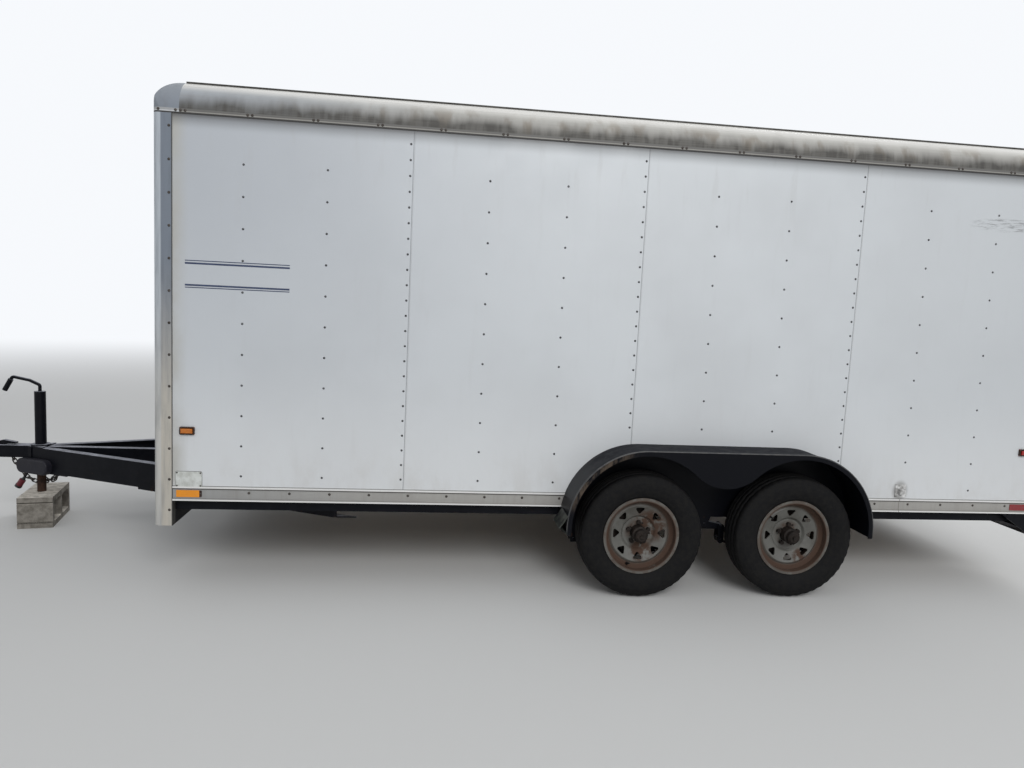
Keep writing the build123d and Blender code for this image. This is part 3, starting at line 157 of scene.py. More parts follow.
def seen_straight(tree):
    # 1 for the camera, a mirror image or a look through glass, and 0 for light that is thrown back.
    rays = new_node(tree, "ShaderNodeLightPath")
    seen = rays.outputs["Is Camera Ray"]
    for kind in ("Is Glossy Ray", "Is Transmission Ray"):
        seen = number_math(tree, "MAXIMUM", seen, rays.outputs[kind])
    return seen


def make_floor_paint():
    made = bpy.data.materials.new("floor_paint")
    made.use_nodes = True
    tree = made.node_tree
    shader = tree.nodes["Principled BSDF"]
    shader.inputs["Base Color"].default_value = floor_colour
    shader.inputs["Roughness"].default_value = 0.9
    where = new_node(tree, "ShaderNodeTexCoord").outputs["Object"]
    reach = {"Value": vector_math(tree, "LENGTH", where), "From Min": fade_from, "From Max": fade_to}
    fade = new_node(tree, "ShaderNodeMapRange", reach, interpolation_type="SMOOTHSTEP")
    share = number_math(tree, "MULTIPLY", fade.outputs["Result"], seen_straight(tree))
    glow = new_node(tree, "ShaderNodeEmission", {"Color": sky_colour})
    mix = new_node(tree, "ShaderNodeMixShader", {0: share, 1: shader.outputs[0], 2: glow.outputs[0]})
    tree.links.new(mix.outputs[0], tree.nodes["Material Output"].inputs["Surface"])
    return made


def make_floor():
    mesh = bpy.data.meshes.new("floor")
    half = floor_size / 2
    corners = [(-half, -half, 0), (half, -half, 0), (half, half, 0), (-half, half, 0)]
    mesh.from_pydata(corners, [], [(0, 1, 2, 3)])
    mesh.materials.append(make_floor_paint())
    floor = bpy.data.objects.new("floor", mesh)
    bpy.context.scene.collection.objects.link(floor)


def make_sky():
    world = bpy.data.worlds.new("sky")
    world.use_nodes = True
    bpy.context.scene.world = world
    tree = world.node_tree
    back = tree.nodes["Background"]
    back.inputs["Color"].default_value = sky_colour
    # The sky lights the trailer at its own strength, and is seen at full strength.
    strength = new_node(tree, "ShaderNodeMapRange", {"Value": seen_straight(tree), "To Min": sky_strength})
    tree.links.new(strength.outputs["Result"], back.inputs["Strength"])


def add_lamp(name, place, target, size, power):
    lamp = bpy.data.objects.new(name, bpy.data.lights.new(name, "AREA"))
    bpy.context.scene.collection.objects.link(lamp)
    lamp.data.shape = "DISK"
    lamp.data.size = size
    lamp.data.energy = power
    lamp.location = place
    lamp.rotation_euler = (Vector(target) - Vector(place)).to_track_quat("-Z", "Y").to_euler()


make_floor()
make_sky()
bpy.context.scene.view_settings.view_transform = "Standard"
add_lamp("key_lamp", place=(2.0, -11.5, 8.0), target=(0.6, 0, 1.2), size=7.0, power=800)
add_lamp("fill_lamp", place=(6.5, 8.5, 7.0), target=(0.5, 0, 1.0), size=7.0, power=520)
print("two soft lamps and a sky of strength", sky_strength)

# %% [markdown]
# ## Helpers for finishes
#
# Every finish here is a small network of noise and gradients in object space. The pieces all sit at
# the origin with their real place in the mesh, so object coordinates are places on the trailer: dirt
# can gather near the ground, and streaks can run down below a seam.

# %% Make short names for the shader nodes that come again and again
def new_finish(name, colour, roughness, metallic=0.0):
    made = bpy.data.materials.new(name)
    made.use_nodes = True
    shader = made.node_tree.nodes["Principled BSDF"]
    shader.inputs["Base Color"].default_value = (*colour, 1)
    shader.inputs["Roughness"].default_value = roughness
    shader.inputs["Metallic"].default_value = metallic
    return made, made.node_tree, shader


def places_on_trailer(tree):
    return new_node(tree, "ShaderNodeTexCoord").outputs["Object"]


def stretched(tree, vector, scale, shift=(0, 0, 0)):
    mapping = new_node(tree, "ShaderNodeMapping", {"Vector": vector, "Scale": scale, "Location": shift})
    return mapping.outputs["Vector"]


def noise(tree, vector, scale, detail=4.0, rough=0.55):
    made = new_node(tree, "ShaderNodeTexNoise", {
        "Vector": vector,
        "Scale": scale,
        "Detail": detail,
        "Roughness": rough,
    })
    return made.outputs[0]


def between(tree, value, low, high, to_low=0.0, to_high=1.0):
    # Rises softly from 0 at the low value to 1 at the high one, and falls if high is below low.
    made = new_node(tree, "ShaderNodeMapRange", {
        "Value": value,
        "From Min": low,
        "From Max": high,
        "To Min": to_low,
        "To Max": to_high,
    }, interpolation_type="SMOOTHSTEP")
    return made.outputs["Result"]


def combine(tree, operation, a, b):
    # The result is held between 0 and 1, so that it can serve as a share.
    made = new_node(tree, "ShaderNodeMath", {0: a, 1: b}, operation=operation, use_clamp=True)
    return made.outputs[0]


def times(tree, a, b):
    return combine(tree, "MULTIPLY", a, b)


def as_colour(value):
    return value if isinstance(value, bpy.types.NodeSocket) else (*value, 1)


def blend_colours(tree, share, a, b):
    # Colour a where the share is 0 and colour b where it is 1. Inputs 6 and 7 of the node are colours.
    made = new_node(tree, "ShaderNodeMix", {0: share, 6: as_colour(a), 7: as_colour(b)}, data_type="RGBA")
    return made.outputs[2]


def cover(tree, colour, layers):
    # Each layer is a share and the colour that it lays over what is there.
    for share, layer in layers:
        colour = blend_colours(tree, share, colour, layer)
    return colour


def dimmed(colour, factor):
    return tuple(factor * part for part in colour)


def part_of(tree, vector, axis):
    return new_node(tree, "ShaderNodeSeparateXYZ", {"Vector": vector}).outputs[axis]


def size_of(tree, value):
    return number_math(tree, "ABSOLUTE", value)


def facing_way(tree, axis):
    # How far the surface faces along an axis, from -1 to 1.
    return part_of(tree, new_node(tree, "ShaderNodeNewGeometry").outputs["Normal"], axis)


line_edge = 0.0008


def draw_lines(tree, place, colour, lines):
    # Each line is where it starts, where it ends and its colour. The place is a coordinate, such as Z.
    for low, high, line_colour in lines:
        past_low = between(tree, place, low, low + line_edge)
        before_high = between(tree, place, high, high - line_edge)
        colour = blend_colours(tree, times(tree, past_low, before_high), colour, line_colour)
    return colour


def add_bump(tree, shader, height, distance, strength):
    bump = new_node(tree, "ShaderNodeBump", {"Height": height, "Distance": distance, "Strength": strength})
    tree.links.new(bump.outputs["Normal"], shader.inputs["Normal"])


def add_mill_grain(tree, shader, where):
    add_bump(tree, shader, noise(tree, where, 90.0, 3.0), 0.0006, 0.5)


def link(tree, value, shader, socket):
    tree.links.new(value, shader.inputs[socket])


print("helpers ready")

# %% [markdown]
# ## White sheet
#
# The sides are thin aluminium sheets with a baked white coat. After years outside the coat is a little
# chalky: faint short runs come down from the roof edge, a breath of dust lies low down, sealant has bled
# out along the front post, and high up at the rear something has scraped and creased the left side.
# Under the roof edge and round the catch for the rear door lies painted shadow mixed with dirt, and a thin
# dark line runs above the rail. The sheet isn't quite flat between its rivets, which is a long shallow bump
# here, because real sheet only shows it in the reflections. Where one sheet laps over the next, dirt has
# drawn a thin upright line. Towards the front corner and the rear the coat has painted shade, and low down
# painted light.
#
# The same solids also show their inner faces when a door is open. A face whose normal points towards
# the middle of the body is an inner one, and gets the plywood lining's colour.

# %% Name the colours and places of the white coat
sheet_white = (0.565, 0.590, 0.610)
sheet_shade = (0.475, 0.490, 0.505)
# Painted shade towards the front corner.
front_shade = (0.400, 0.425, 0.460)
road_dust = (0.36, 0.32, 0.27)
run_grey = (0.40, 0.40, 0.395)
# Painted light low down.
low_painted_light = (0.680, 0.690, 0.695)
# Painted shade towards the rear.
rear_shade = (0.470, 0.490, 0.508)
front_shade_reach = 2.4
rear_shade_from = 3.0
# Painted shadow, mixed with dirt, under the roof edge.
edge_shadow = (0.060, 0.060, 0.060)
edge_shadow_near = 0.024
edge_shadow_far = 0.075
rail_line = 0.0045
rail_line_grey = (0.17, 0.17, 0.165)
sealant_stain = (0.40, 0.395, 0.365)
seam_dirt = (0.155, 0.165, 0.175)
seam_width = 0.0032
inch = 0.0254
stud_pitch = 16 * inch
seam_every = 3
first_seam = 2
seam_pitch = seam_every * stud_pitch
first_stud = 0.4293
seam_lap = 0.6 * inch
first_seam_x = front_x + first_stud + first_seam * stud_pitch + seam_lap
seam_count = int((rear_post_x - first_seam_x) / seam_pitch) + 1
scrape_grey = (0.20, 0.205, 0.21)
scrape_middle = (2.75, 0.0, 2.088)
scrape_reach = (0.27, 1.0, 0.044)
lining_brown = (0.40, 0.31, 0.21)
body_middle = ((front_x + rear_x) / 2, 0.0, (wall_low + roof_z) / 2)
catch_low, catch_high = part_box("door_catches")
catch_middle = tuple((catch_low + catch_high) / 2)
# Painted shadow mixed with dirt round the catch for the rear door.
shadow_and_dirt_round_catch = (0.16, 0.155, 0.14)
catch_shadow_reach = (0.058, 0.026)
print(seam_count, "seams, the first at", round(first_seam_x, 3))

# %% [markdown]
# ### What lies on the coat
#
# Some of these functions give a share, which is 1 where a mark is full and 0 where there is none. The
# others give a list of layers, and each layer is a share and the colour that goes on with it.

# %% Write the marks on the coat
def facing_inward(tree, where):
    # 1 on the inner faces and 0 on the outer ones.
    normal = new_node(tree, "ShaderNodeTexCoord").outputs["Normal"]
    outward = vector_math(tree, "SUBTRACT", where, body_middle)
    return between(tree, vector_math(tree, "DOT_PRODUCT", normal, outward), 0.0, -0.02)


def scrape_marks(tree, where):
    # Short level scratches inside a flat oval, on the left side only.
    offset = vector_math(tree, "SUBTRACT", where, scrape_middle)
    offset = vector_math(tree, "DIVIDE", offset, scrape_reach)
    flat = vector_math(tree, "MULTIPLY", offset, (1, 0, 1))
    inside = between(tree, vector_math(tree, "LENGTH", flat), 1.0, 0.55)
    on_left = between(tree, part_of(tree, where, "Y"), 0.0, -0.5)
    grain = noise(tree, stretched(tree, where, (14, 1, 130)), 1.0, 6.0, 0.7)
    return times(tree, times(tree, inside, on_left), between(tree, grain, 0.50, 0.62))


def catch_shadow_and_dirt(tree, where):
    # Painted shadow and dirt in an upright oval round the door's catch.
    offset = vector_math(tree, "SUBTRACT", where, catch_middle)
    flat = vector_math(tree, "MULTIPLY", offset, (1, 0, 0.8))
    return between(tree, vector_math(tree, "LENGTH", flat), *catch_shadow_reach, 0.0, 0.62)


def shade_by_place(tree, where, back, height):
    # Cloudy all over, painted shade towards the front corner and the rear, and painted light low down.
    clouds = between(tree, noise(tree, where, 1.6, 3.0), 0.35, 0.75)
    forward = between(tree, back, front_x + front_shade_reach, front_x)
    forward = times(tree, forward, between(tree, height, 0.7, 2.2, 0.25, 0.85))
    return [
        (times(tree, clouds, 0.45), sheet_shade),
        (forward, front_shade),
        (between(tree, back, front_x + rear_shade_from, rear_x, 0.0, 0.60), rear_shade),
        (between(tree, height, 1.25, wall_low, 0.0, 0.55), low_painted_light),
    ]


def weather_marks(tree, where, back, height, on_side):
    # Runs down from the roof edge, dust low down, and what has bled from the sealant by the front post.
    runs = noise(tree, stretched(tree, where, (16, 16, 2.2)), 1.0, 5.0, 0.6)
    near_roof = between(tree, height, wall_high - 0.35, wall_high, 0.08, 0.30)
    splash = noise(tree, stretched(tree, where, (9, 9, 5)), 1.0, 8.0, 0.65)
    low_down = between(tree, height, wall_low + 0.30, wall_low - 0.04)
    splash = times(tree, between(tree, splash, 0.40, 0.72), low_down)
    bled = noise(tree, stretched(tree, where, (3, 3, 2.5)), 1.0, 6.0, 0.6)
    by_post = times(tree, between(tree, back, post_back_x + 0.085, post_back_x), on_side)
    return [
        (times(tree, between(tree, runs, 0.54, 0.74), near_roof), run_grey),
        (times(tree, splash, 0.2), road_dust),
        (times(tree, between(tree, bled, 0.30, 0.60, 0.25, 0.9), by_post), sealant_stain),
    ]


def draw_seams(tree, back, height, colour):
    # A thin dark line along each upright seam, and one above the rail.
    seams = [first_seam_x + seam_pitch * index for index in range(seam_count)]
    colour = draw_lines(tree, back, colour, [(x - seam_width, x, seam_dirt) for x in seams])
    return draw_lines(tree, height, colour, [(rail_high, rail_high + rail_line, rail_line_grey)])


def roof_edge_shadow(tree, height):
    # Painted shadow and dirt under the roof edge: a wide soft band, and a narrow dark one.
    # The roof itself stays clean.
    below_roof = between(tree, height, wall_high + 0.010, wall_high + 0.005)
    layers = []
    for reach, share in ((edge_shadow_far, 0.62), (edge_shadow_near, 0.55)):
        under_edge = between(tree, height, wall_high - reach, wall_high, 0.0, share)
        layers.append((times(tree, under_edge, below_roof), edge_shadow))
    return layers


print("marks ready")

# %% [markdown]
# ### The coat itself
#
# The layers go on in this order: the painted shade and painted light by place, then the weather, the dirt in
# the seams, the painted shadow and dirt under the roof edge and round the catch, and the scrape. The lining's
# colour comes last, so that nothing from outside shows on the inner faces.

# %% Mix the white coat
def make_white_coat():
    made, tree, shader = new_finish("white_coat", sheet_white, 0.42)
    where = places_on_trailer(tree)
    height = part_of(tree, where, "Z")
    back = part_of(tree, where, "X")
    on_side = between(tree, size_of(tree, part_of(tree, where, "Y")), side_y - 0.02, side_y - 0.01)
    scraped = scrape_marks(tree, where)
    colour = cover(tree, sheet_white, shade_by_place(tree, where, back, height))
    colour = cover(tree, colour, weather_marks(tree, where, back, height, on_side))
    colour = blend_colours(tree, on_side, colour, draw_seams(tree, back, height, colour))
    colour = cover(tree, colour, roof_edge_shadow(tree, height))
    colour = cover(tree, colour, [
        (catch_shadow_and_dirt(tree, where), shadow_and_dirt_round_catch),
        (times(tree, scraped, 0.7), scrape_grey),
        (facing_inward(tree, where), lining_brown),
    ])
    link(tree, colour, shader, "Base Color")
    worn = noise(tree, where, 6.0, 4.0)
    link(tree, between(tree, worn, 0.3, 0.7, 0.34, 0.52), shader, "Roughness")
    waves = noise(tree, stretched(tree, where, (1.5, 1.5, 1.1)), 1.0, 2.0)
    add_bump(tree, shader, combine(tree, "ADD", waves, times(tree, scraped, 0.15)), 0.02, 0.5)
    return made


white_coat = make_white_coat()
print("white coat over", sheet_white)

# %% [markdown]
# ## Weathered aluminium
#
# Rails and corner caps are bare aluminium gone dull, and one recipe makes them both: two colours by
# height, plus brown runs whose strength is an argument, and a bluer, darker painted reflection near the
# front. On the caps the lighter upper colour is painted light from the sky. Thin level lines are drawn
# over it by height: the rail's bead along its top and bottom has a painted highlight with a line of
# painted shade beside each, and a cap stands on a pale flange with a painted highlight on its lip and a
# painted shadow at its foot. An upright line marks where two lengths of rail meet.

# %% Mix the aluminium of the rails and caps
# A bluer, darker painted reflection near the front.
front_blue_reflection = (0.205, 0.235, 0.270)
stain_brown = (0.135, 0.112, 0.080)
rail_bead = 0.0085
bead_shadow = 0.006
flange_top = wall_high + 0.024
lip_top = wall_high + 0.0135
flange_middle = wall_high + 0.007
flange_shadow = (0.030, 0.028, 0.026)
# Painted highlight and painted shade for the rail's beads.
bead_highlight = (0.72, 0.715, 0.700)
bead_shade = (0.055, 0.052, 0.048)
joint_width = 0.0035
joint_grey = (0.13, 0.12, 0.11)
past_end = 0.01
cap_flange = (0.30, 0.305, 0.310)
cap_lip_highlight = (0.46, 0.465, 0.470)
rail_joints = [(catch_middle[0], catch_middle[0] + joint_width, joint_grey)]
# The rail's bright bead lines are painted highlights and the dark lines beside them painted shade.
rail_lines = (
    (rail_high - rail_bead, rail_high + past_end, bead_highlight),
    (rail_high - rail_bead - bead_shadow, rail_high - rail_bead, bead_shade),
    (rail_low + rail_bead, rail_low + rail_bead + 0.002, bead_shade),
    (rail_low - past_end, rail_low + rail_bead, bead_highlight),
)
# The cap's lip line is a painted highlight and the line at the flange's foot a painted shadow.
cap_lines = (
    (lip_top, flange_top, cap_flange),
    (flange_middle, lip_top, cap_lip_highlight),
    (wall_high - past_end, flange_middle, flange_shadow),
)


def near_front(tree, where, reach=1.5):
    # 1 at the front of the body, and 0 from the reach back.
    return between(tree, part_of(tree, where, "X"), front_x + reach, front_x)


def make_aluminium(name, low_colour, high_colour, low_z, high_z, stain, lines, front_reflection, joints=()):
    made, tree, shader = new_finish(name, low_colour, 0.45, 0.35)
    where = places_on_trailer(tree)
    height = part_of(tree, where, "Z")
    clouds = between(tree, noise(tree, where, 5.0, 6.0, 0.6), 0.35, 0.7)
    runs = noise(tree, stretched(tree, where, (38, 38, 1.4)), 1.0, 5.0, 0.7)
    # The layer near the front is a painted reflection, bluer and darker.
    colour = cover(tree, low_colour, [
        (between(tree, height, low_z, high_z), high_colour),
        (times(tree, near_front(tree, where), front_reflection), front_blue_reflection),
        (times(tree, clouds, 0.3), dimmed(low_colour, 0.72)),
        (between(tree, runs, 0.45, 0.70, 0.0, stain), stain_brown),
    ])
    colour = draw_lines(tree, height, colour, lines)
    colour = draw_lines(tree, part_of(tree, where, "X"), colour, joints)
    link(tree, colour, shader, "Base Color")
    link(tree, between(tree, clouds, 0.0, 1.0, 0.40, 0.62), shader, "Roughness")
    add_mill_grain(tree, shader, where)
    return made


# The caps grow lighter towards the top, which is painted light from the sky.
cap_metal = make_aluminium("cap_metal", (0.175, 0.190, 0.215), (0.44, 0.46, 0.49), flange_top, roof_z,
                           stain=0.1, lines=cap_lines, front_reflection=0.5)
rail_metal = make_aluminium("rail_metal", (0.34, 0.33, 0.31), (0.38, 0.37, 0.35), rail_low, rail_high,
                            stain=0.12, lines=rail_lines, front_reflection=0.3, joints=rail_joints)
print("aluminium for rails and caps")

# %% [markdown]
# ## Roof edge
#
# The rounded roof edge is pale cream on top, which is painted light from the sky, with a bluer painted
# reflection near the front, and it is dark along its foot, partly with dirt and partly with painted shade.
# Between the two, soft streaks a hand's width apart reach up from the foot, grey ones and rusty ones, and
# each fades out as it climbs. Fine level brush marks from the mill cross them. Along its foot runs a flat
# flange: grey on top, with a painted highlight on its lip, and a painted shadow under that.

# %% Mix the roof edge
# Painted light on top, a painted reflection at the front, and a foot of dirt and painted shade.
edge_top = (0.79, 0.775, 0.735)
edge_cream = (0.50, 0.490, 0.458)
edge_dirt_and_shade = (0.050, 0.047, 0.042)
edge_rust = (0.165, 0.110, 0.050)
edge_front_reflection = (0.345, 0.378, 0.420)
edge_height = roof_z - flange_top
edge_flange = (0.125, 0.122, 0.115)
edge_lip_highlight = (0.250, 0.242, 0.225)
# The flange's lip line is a painted highlight and the line at its foot a painted shadow.
edge_lines = (
    (lip_top, flange_top, edge_flange),
    (flange_middle, lip_top, edge_lip_highlight),
    (wall_high - past_end, flange_middle, flange_shadow),
)
brushed_grey = (0.21, 0.20, 0.18)
edge_blue_reach = 1.7


def rising_streaks(tree, where, across, low, high, seed):
    # Noise that changes fast along the trailer and slowly upwards. More across makes narrower streaks.
    pattern = noise(tree, stretched(tree, where, (across, across, 0.5), (seed, 0, 0)), 1.0, 3.0, 0.5)
    return between(tree, pattern, low, high)


def up_the_edge(share):
    # The height at a share of the way up the rounded edge.
    return flange_top + share * edge_height


def make_roof_edge():
    made, tree, shader = new_finish("roof_edge_metal", edge_cream, 0.5, 0.15)
    where = places_on_trailer(tree)
    height = part_of(tree, where, "Z")
    ahead = near_front(tree, where, edge_blue_reach)
    # Painted light on the upper part, and a bluer painted reflection near the front.
    sky_lit_top = between(tree, height, up_the_edge(0.48), up_the_edge(0.90))
    fade = between(tree, height, up_the_edge(0.90), up_the_edge(0.10))
    front_reflection = times(tree, ahead, between(tree, sky_lit_top, 0.0, 1.0, 0.85, 0.10))
    rust = times(tree, rising_streaks(tree, where, 13, 0.50, 0.66, 7.0), fade)
    rust = times(tree, rust, between(tree, ahead, 0.0, 1.0, 0.65, 0.10))
    # The foot is darker, partly dirt and partly painted shade.
    foot = between(tree, height, up_the_edge(0.70), up_the_edge(-0.02), 0.0, 0.94)
    dirt_and_shade = times(tree, rising_streaks(tree, where, 8, 0.34, 0.62, 0.0), fade)
    dirt_and_shade = combine(tree, "ADD", times(tree, dirt_and_shade, 0.28), foot)
    fine = rising_streaks(tree, where, 34, 0.32, 0.70, 3.0)
    dirt_and_shade = times(tree, dirt_and_shade, between(tree, fine, 0.0, 1.0, 0.90, 1.0))
    brushed = noise(tree, stretched(tree, where, (1.5, 60, 260)), 1.0, 3.0, 0.6)
    colour = cover(tree, edge_cream, [
        (sky_lit_top, edge_top),
        (front_reflection, edge_front_reflection),
        (rust, edge_rust),
        (dirt_and_shade, edge_dirt_and_shade),
        (between(tree, brushed, 0.45, 0.65, 0.0, 0.16), brushed_grey),
    ])
    link(tree, draw_lines(tree, height, colour, edge_lines), shader, "Base Color")
    link(tree, between(tree, dirt_and_shade, 0.0, 1.0, 0.42, 0.65), shader, "Roughness")
    add_mill_grain(tree, shader, where)
    return made


roof_edge_metal = make_roof_edge()
print("roof edge", round(edge_height, 3), "m high above its flange")

# %% [markdown]
# ## Corner posts
#
# The posts are bluish grey high up and dusty beige low down. Each has a rounded outer edge with a painted
# highlight, bright against its darker flat. The front ones have a thin dark line of old sealant beside the
# sheet.

# %% Mix the corner posts
post_beige = (0.47, 0.44, 0.385)
post_blue = (0.158, 0.182, 0.217)
# A painted highlight along each post's rounded edge.
post_edge_highlight = (0.56, 0.60, 0.64)
post_round = 0.040
sealant_dark = (0.050, 0.048, 0.045)
body_half_length = (rear_x - front_x) / 2


def make_post_metal():
    made, tree, shader = new_finish("post_metal", post_blue, 0.45, 0.2)
    where = places_on_trailer(tree)
    back = part_of(tree, where, "X")
    rise = between(tree, part_of(tree, where, "Z"), 0.75, 1.75)
    reach = size_of(tree, number_math(tree, "SUBTRACT", back, body_middle[0]))
    flat_ends = body_half_length - post_round
    # Painted highlight along the rounded edge.
    edge_highlight = between(tree, reach, flat_ends - 0.004, flat_ends + 0.004)
    edge_highlight = times(tree, edge_highlight, between(tree, rise, 0.0, 1.0, 0.30, 0.60))
    clouds = between(tree, noise(tree, stretched(tree, where, (30, 30, 3)), 1.0, 6.0, 0.6), 0.38, 0.7)
    beside_sheet = times(tree, between(tree, back, post_back_x - 0.005, post_back_x - 0.003),
                         between(tree, back, post_back_x + 0.1, post_back_x + 0.05))
    colour = cover(tree, post_beige, [
        (rise, post_blue),
        (edge_highlight, post_edge_highlight),
        (times(tree, clouds, 0.40), dimmed(post_blue, 0.7)),
        (beside_sheet, sealant_dark),
    ])
    link(tree, colour, shader, "Base Color")
    link(tree, between(tree, clouds, 0.0, 1.0, 0.40, 0.60), shader, "Roughness")
    add_mill_grain(tree, shader, where)
    return made


post_metal = make_post_metal()
print("post colours from", post_beige, "up to", post_blue)

# %% [markdown]
# ## Black paint
#
# The frame, tongue and fenders are steel with black paint, satin rather than glossy. Surfaces that face up
# are paler and bluish, partly dust and partly painted sheen from the sky, and chips along the low edges
# show brown. Facing up is read from the normal, which belongs to the surface and so stays with it in any
# view. The fenders' front ends are rubbed to brown on the outer band, and the folded toe has grey-green
# patches of painted sheen, so their paint has two more patches by place.

# %% Mix the black paint
paint_black = (0.0032, 0.0036, 0.0056)
# Pale bluish colour for faces that look up: partly dust, partly painted sheen.
paint_dust_and_sheen = (0.400, 0.410, 0.460)
rust_brown = (0.11, 0.055, 0.028)
scuff_brown = (0.078, 0.060, 0.046)
# Grey-green painted sheen for the fenders' folded toe.
toe_sheen_grey = (0.050, 0.055, 0.046)
fender_rim = fender_high.x - wheel_places["rear_left"].x
fender_level = fender_high.z - fender_rim
front_axle_x = wheel_places["front_left"].x
rear_axle_x = wheel_places["rear_left"].x


def make_black_paint(name, rust, dust_and_sheen_share):
    # Besides the material it gives the colour and the roughness so far, so that more can be laid over them.
    made, tree, shader = new_finish(name, paint_black, 0.42)
    shader.inputs["Specular IOR Level"].default_value = 0.10
    where = places_on_trailer(tree)
    # Faces that look up get dust and painted sheen.
    upward = between(tree, facing_way(tree, "Z"), 0.55, 0.98)
    grain = between(tree, noise(tree, where, 14.0, 8.0, 0.65), 0.35, 0.7)
    dust_and_sheen = times(tree, upward, between(tree, grain, 0.0, 1.0, 0.55, 1.0))
    dust_and_sheen = combine(tree, "MAXIMUM", dust_and_sheen, times(tree, grain, 0.008))
    chips = between(tree, noise(tree, where, 30.0, 9.0, 0.7), 0.60, 0.68)
    low_down = between(tree, part_of(tree, where, "Z"), 0.46, 0.22)
    rusty = times(tree, times(tree, chips, low_down), rust)
    colour = cover(tree, paint_black, [(times(tree, dust_and_sheen, dust_and_sheen_share), paint_dust_and_sheen), (rusty, rust_brown)])
    return made, tree, shader, where, colour, combine(tree, "MAXIMUM", dust_and_sheen, rusty)


def close_black_paint(made, tree, shader, where, colour, rough):
    link(tree, colour, shader, "Base Color")
    link(tree, between(tree, rough, 0.0, 1.0, 0.38, 0.8), shader, "Roughness")
    add_bump(tree, shader, noise(tree, where, 120.0, 4.0), 0.0005, 0.6)
    return made


def make_fender_paint():
    made, tree, shader, where, colour, rough = make_black_paint("fender_paint", rust=0.3, dust_and_sheen_share=0.042)
    back = part_of(tree, where, "X")
    height = part_of(tree, where, "Z")
    across = size_of(tree, part_of(tree, where, "Y"))
    on_band = between(tree, across, -fender_low.y - 0.004, -fender_low.y - 0.001)
    on_front = times(tree, between(tree, back, front_axle_x - 0.02, front_axle_x - 0.20),
                     between(tree, height, fender_low.z + 0.10, fender_low.z + 0.20))
    scuffs = noise(tree, stretched(tree, where, (20, 20, 6)), 1.0, 8.0, 0.7)
    scuffs = times(tree, between(tree, scuffs, 0.42, 0.60), times(tree, on_front, on_band))
    toe_x = front_axle_x - fender_rim
    # Patches of painted sheen on the folded toe.
    toe_sheen = times(tree, between(tree, back, toe_x + 0.004, toe_x - 0.004),
                between(tree, noise(tree, where, 22.0, 6.0), 0.35, 0.62))
    colour = cover(tree, colour, [(times(tree, scuffs, 0.9), scuff_brown), (toe_sheen, toe_sheen_grey)])
    return close_black_paint(made, tree, shader, where, colour, rough)


frame_paint = close_black_paint(*make_black_paint("frame_paint", rust=0.8, dust_and_sheen_share=0.85))
fender_paint = make_fender_paint()
print("black paint for frame and fenders")

# %% [markdown]
# ## Rust, rubber, zinc and the rest
#
# The smaller finishes all follow one pattern. A noise at the scale of the real grain mixes two colours
# and varies the roughness, and a second noise, four times as fine, gives the bump.

# %% Mix the small finishes
def make_grained(name, light, dark, roughness, scale, metallic=0.0, gloss=0.5):
    # Two colours mixed by a grain. A higher scale is a finer grain.
    made, tree, shader = new_finish(name, light, roughness, metallic)
    shader.inputs["Specular IOR Level"].default_value = gloss
    where = places_on_trailer(tree)
    grain = noise(tree, where, scale, 8.0, 0.62)
    colour = blend_colours(tree, between(tree, grain, 0.34, 0.68), light, dark)
    link(tree, colour, shader, "Base Color")
    link(tree, between(tree, grain, 0.3, 0.7, roughness - 0.08, roughness + 0.08), shader, "Roughness")
    add_bump(tree, shader, noise(tree, where, scale * 4, 5.0), 0.0008, 0.7)
    return made


rusty_steel = make_grained("rusty_steel", (0.050, 0.026, 0.016), (0.018, 0.011, 0.009), 0.82, 34, gloss=0.2)
hub_steel = make_grained("hub_steel", (0.022, 0.016, 0.013), (0.010, 0.008, 0.007), 0.66, 40, 0.2, gloss=0.22)
chain_steel = make_grained("chain_steel", (0.060, 0.050, 0.042), (0.022, 0.018, 0.015), 0.55, 60, 0.4)
plywood_brown = make_grained("plywood_brown", (0.42, 0.30, 0.17), (0.24, 0.16, 0.09), 0.75, 9)
zinc_plate = make_grained("zinc_plate", (0.36, 0.36, 0.35), (0.20, 0.20, 0.195), 0.42, 50, 0.7)
catch_zinc = make_grained("catch_zinc", (0.72, 0.72, 0.71), (0.17, 0.165, 0.155), 0.45, 26, 0.3)
tyre_rubber = make_grained("tyre_rubber", (0.0065, 0.0065, 0.0072), (0.0120, 0.0116, 0.0112), 0.75, 45,
                           gloss=0.10)
soft_black = make_grained("soft_black", (0.0080, 0.0080, 0.0092), (0.0150, 0.0146, 0.0142), 0.62, 70,
                          gloss=0.2)
case_black = make_grained("case_black", (0.0130, 0.0128, 0.0185), (0.0200, 0.0195, 0.0240), 0.50, 18,
                          gloss=0.2)
print("nine small finishes")

# %% [markdown]
# ## Concrete
#
# The block under the jack has a top painted lighter than its grey sides, as painted light from the sky,
# and each of its ends has two grooves, drawn as dark lines of painted shade.

# %% Mix the concrete
block_low, block_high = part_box("concrete_block")
groove_in = 0.033
groove_tall = 0.0075
# The grooves are drawn as dark lines of painted shade.
groove_shade = (0.035, 0.032, 0.027)
block_side_grey = (0.25, 0.232, 0.205)
block_deep = (0.135, 0.124, 0.106)
# Painted light: the top is lighter than the sides because it faces the sky.
block_lit_top = (0.72, 0.675, 0.60)
block_lit_top_grain = (0.42, 0.39, 0.345)


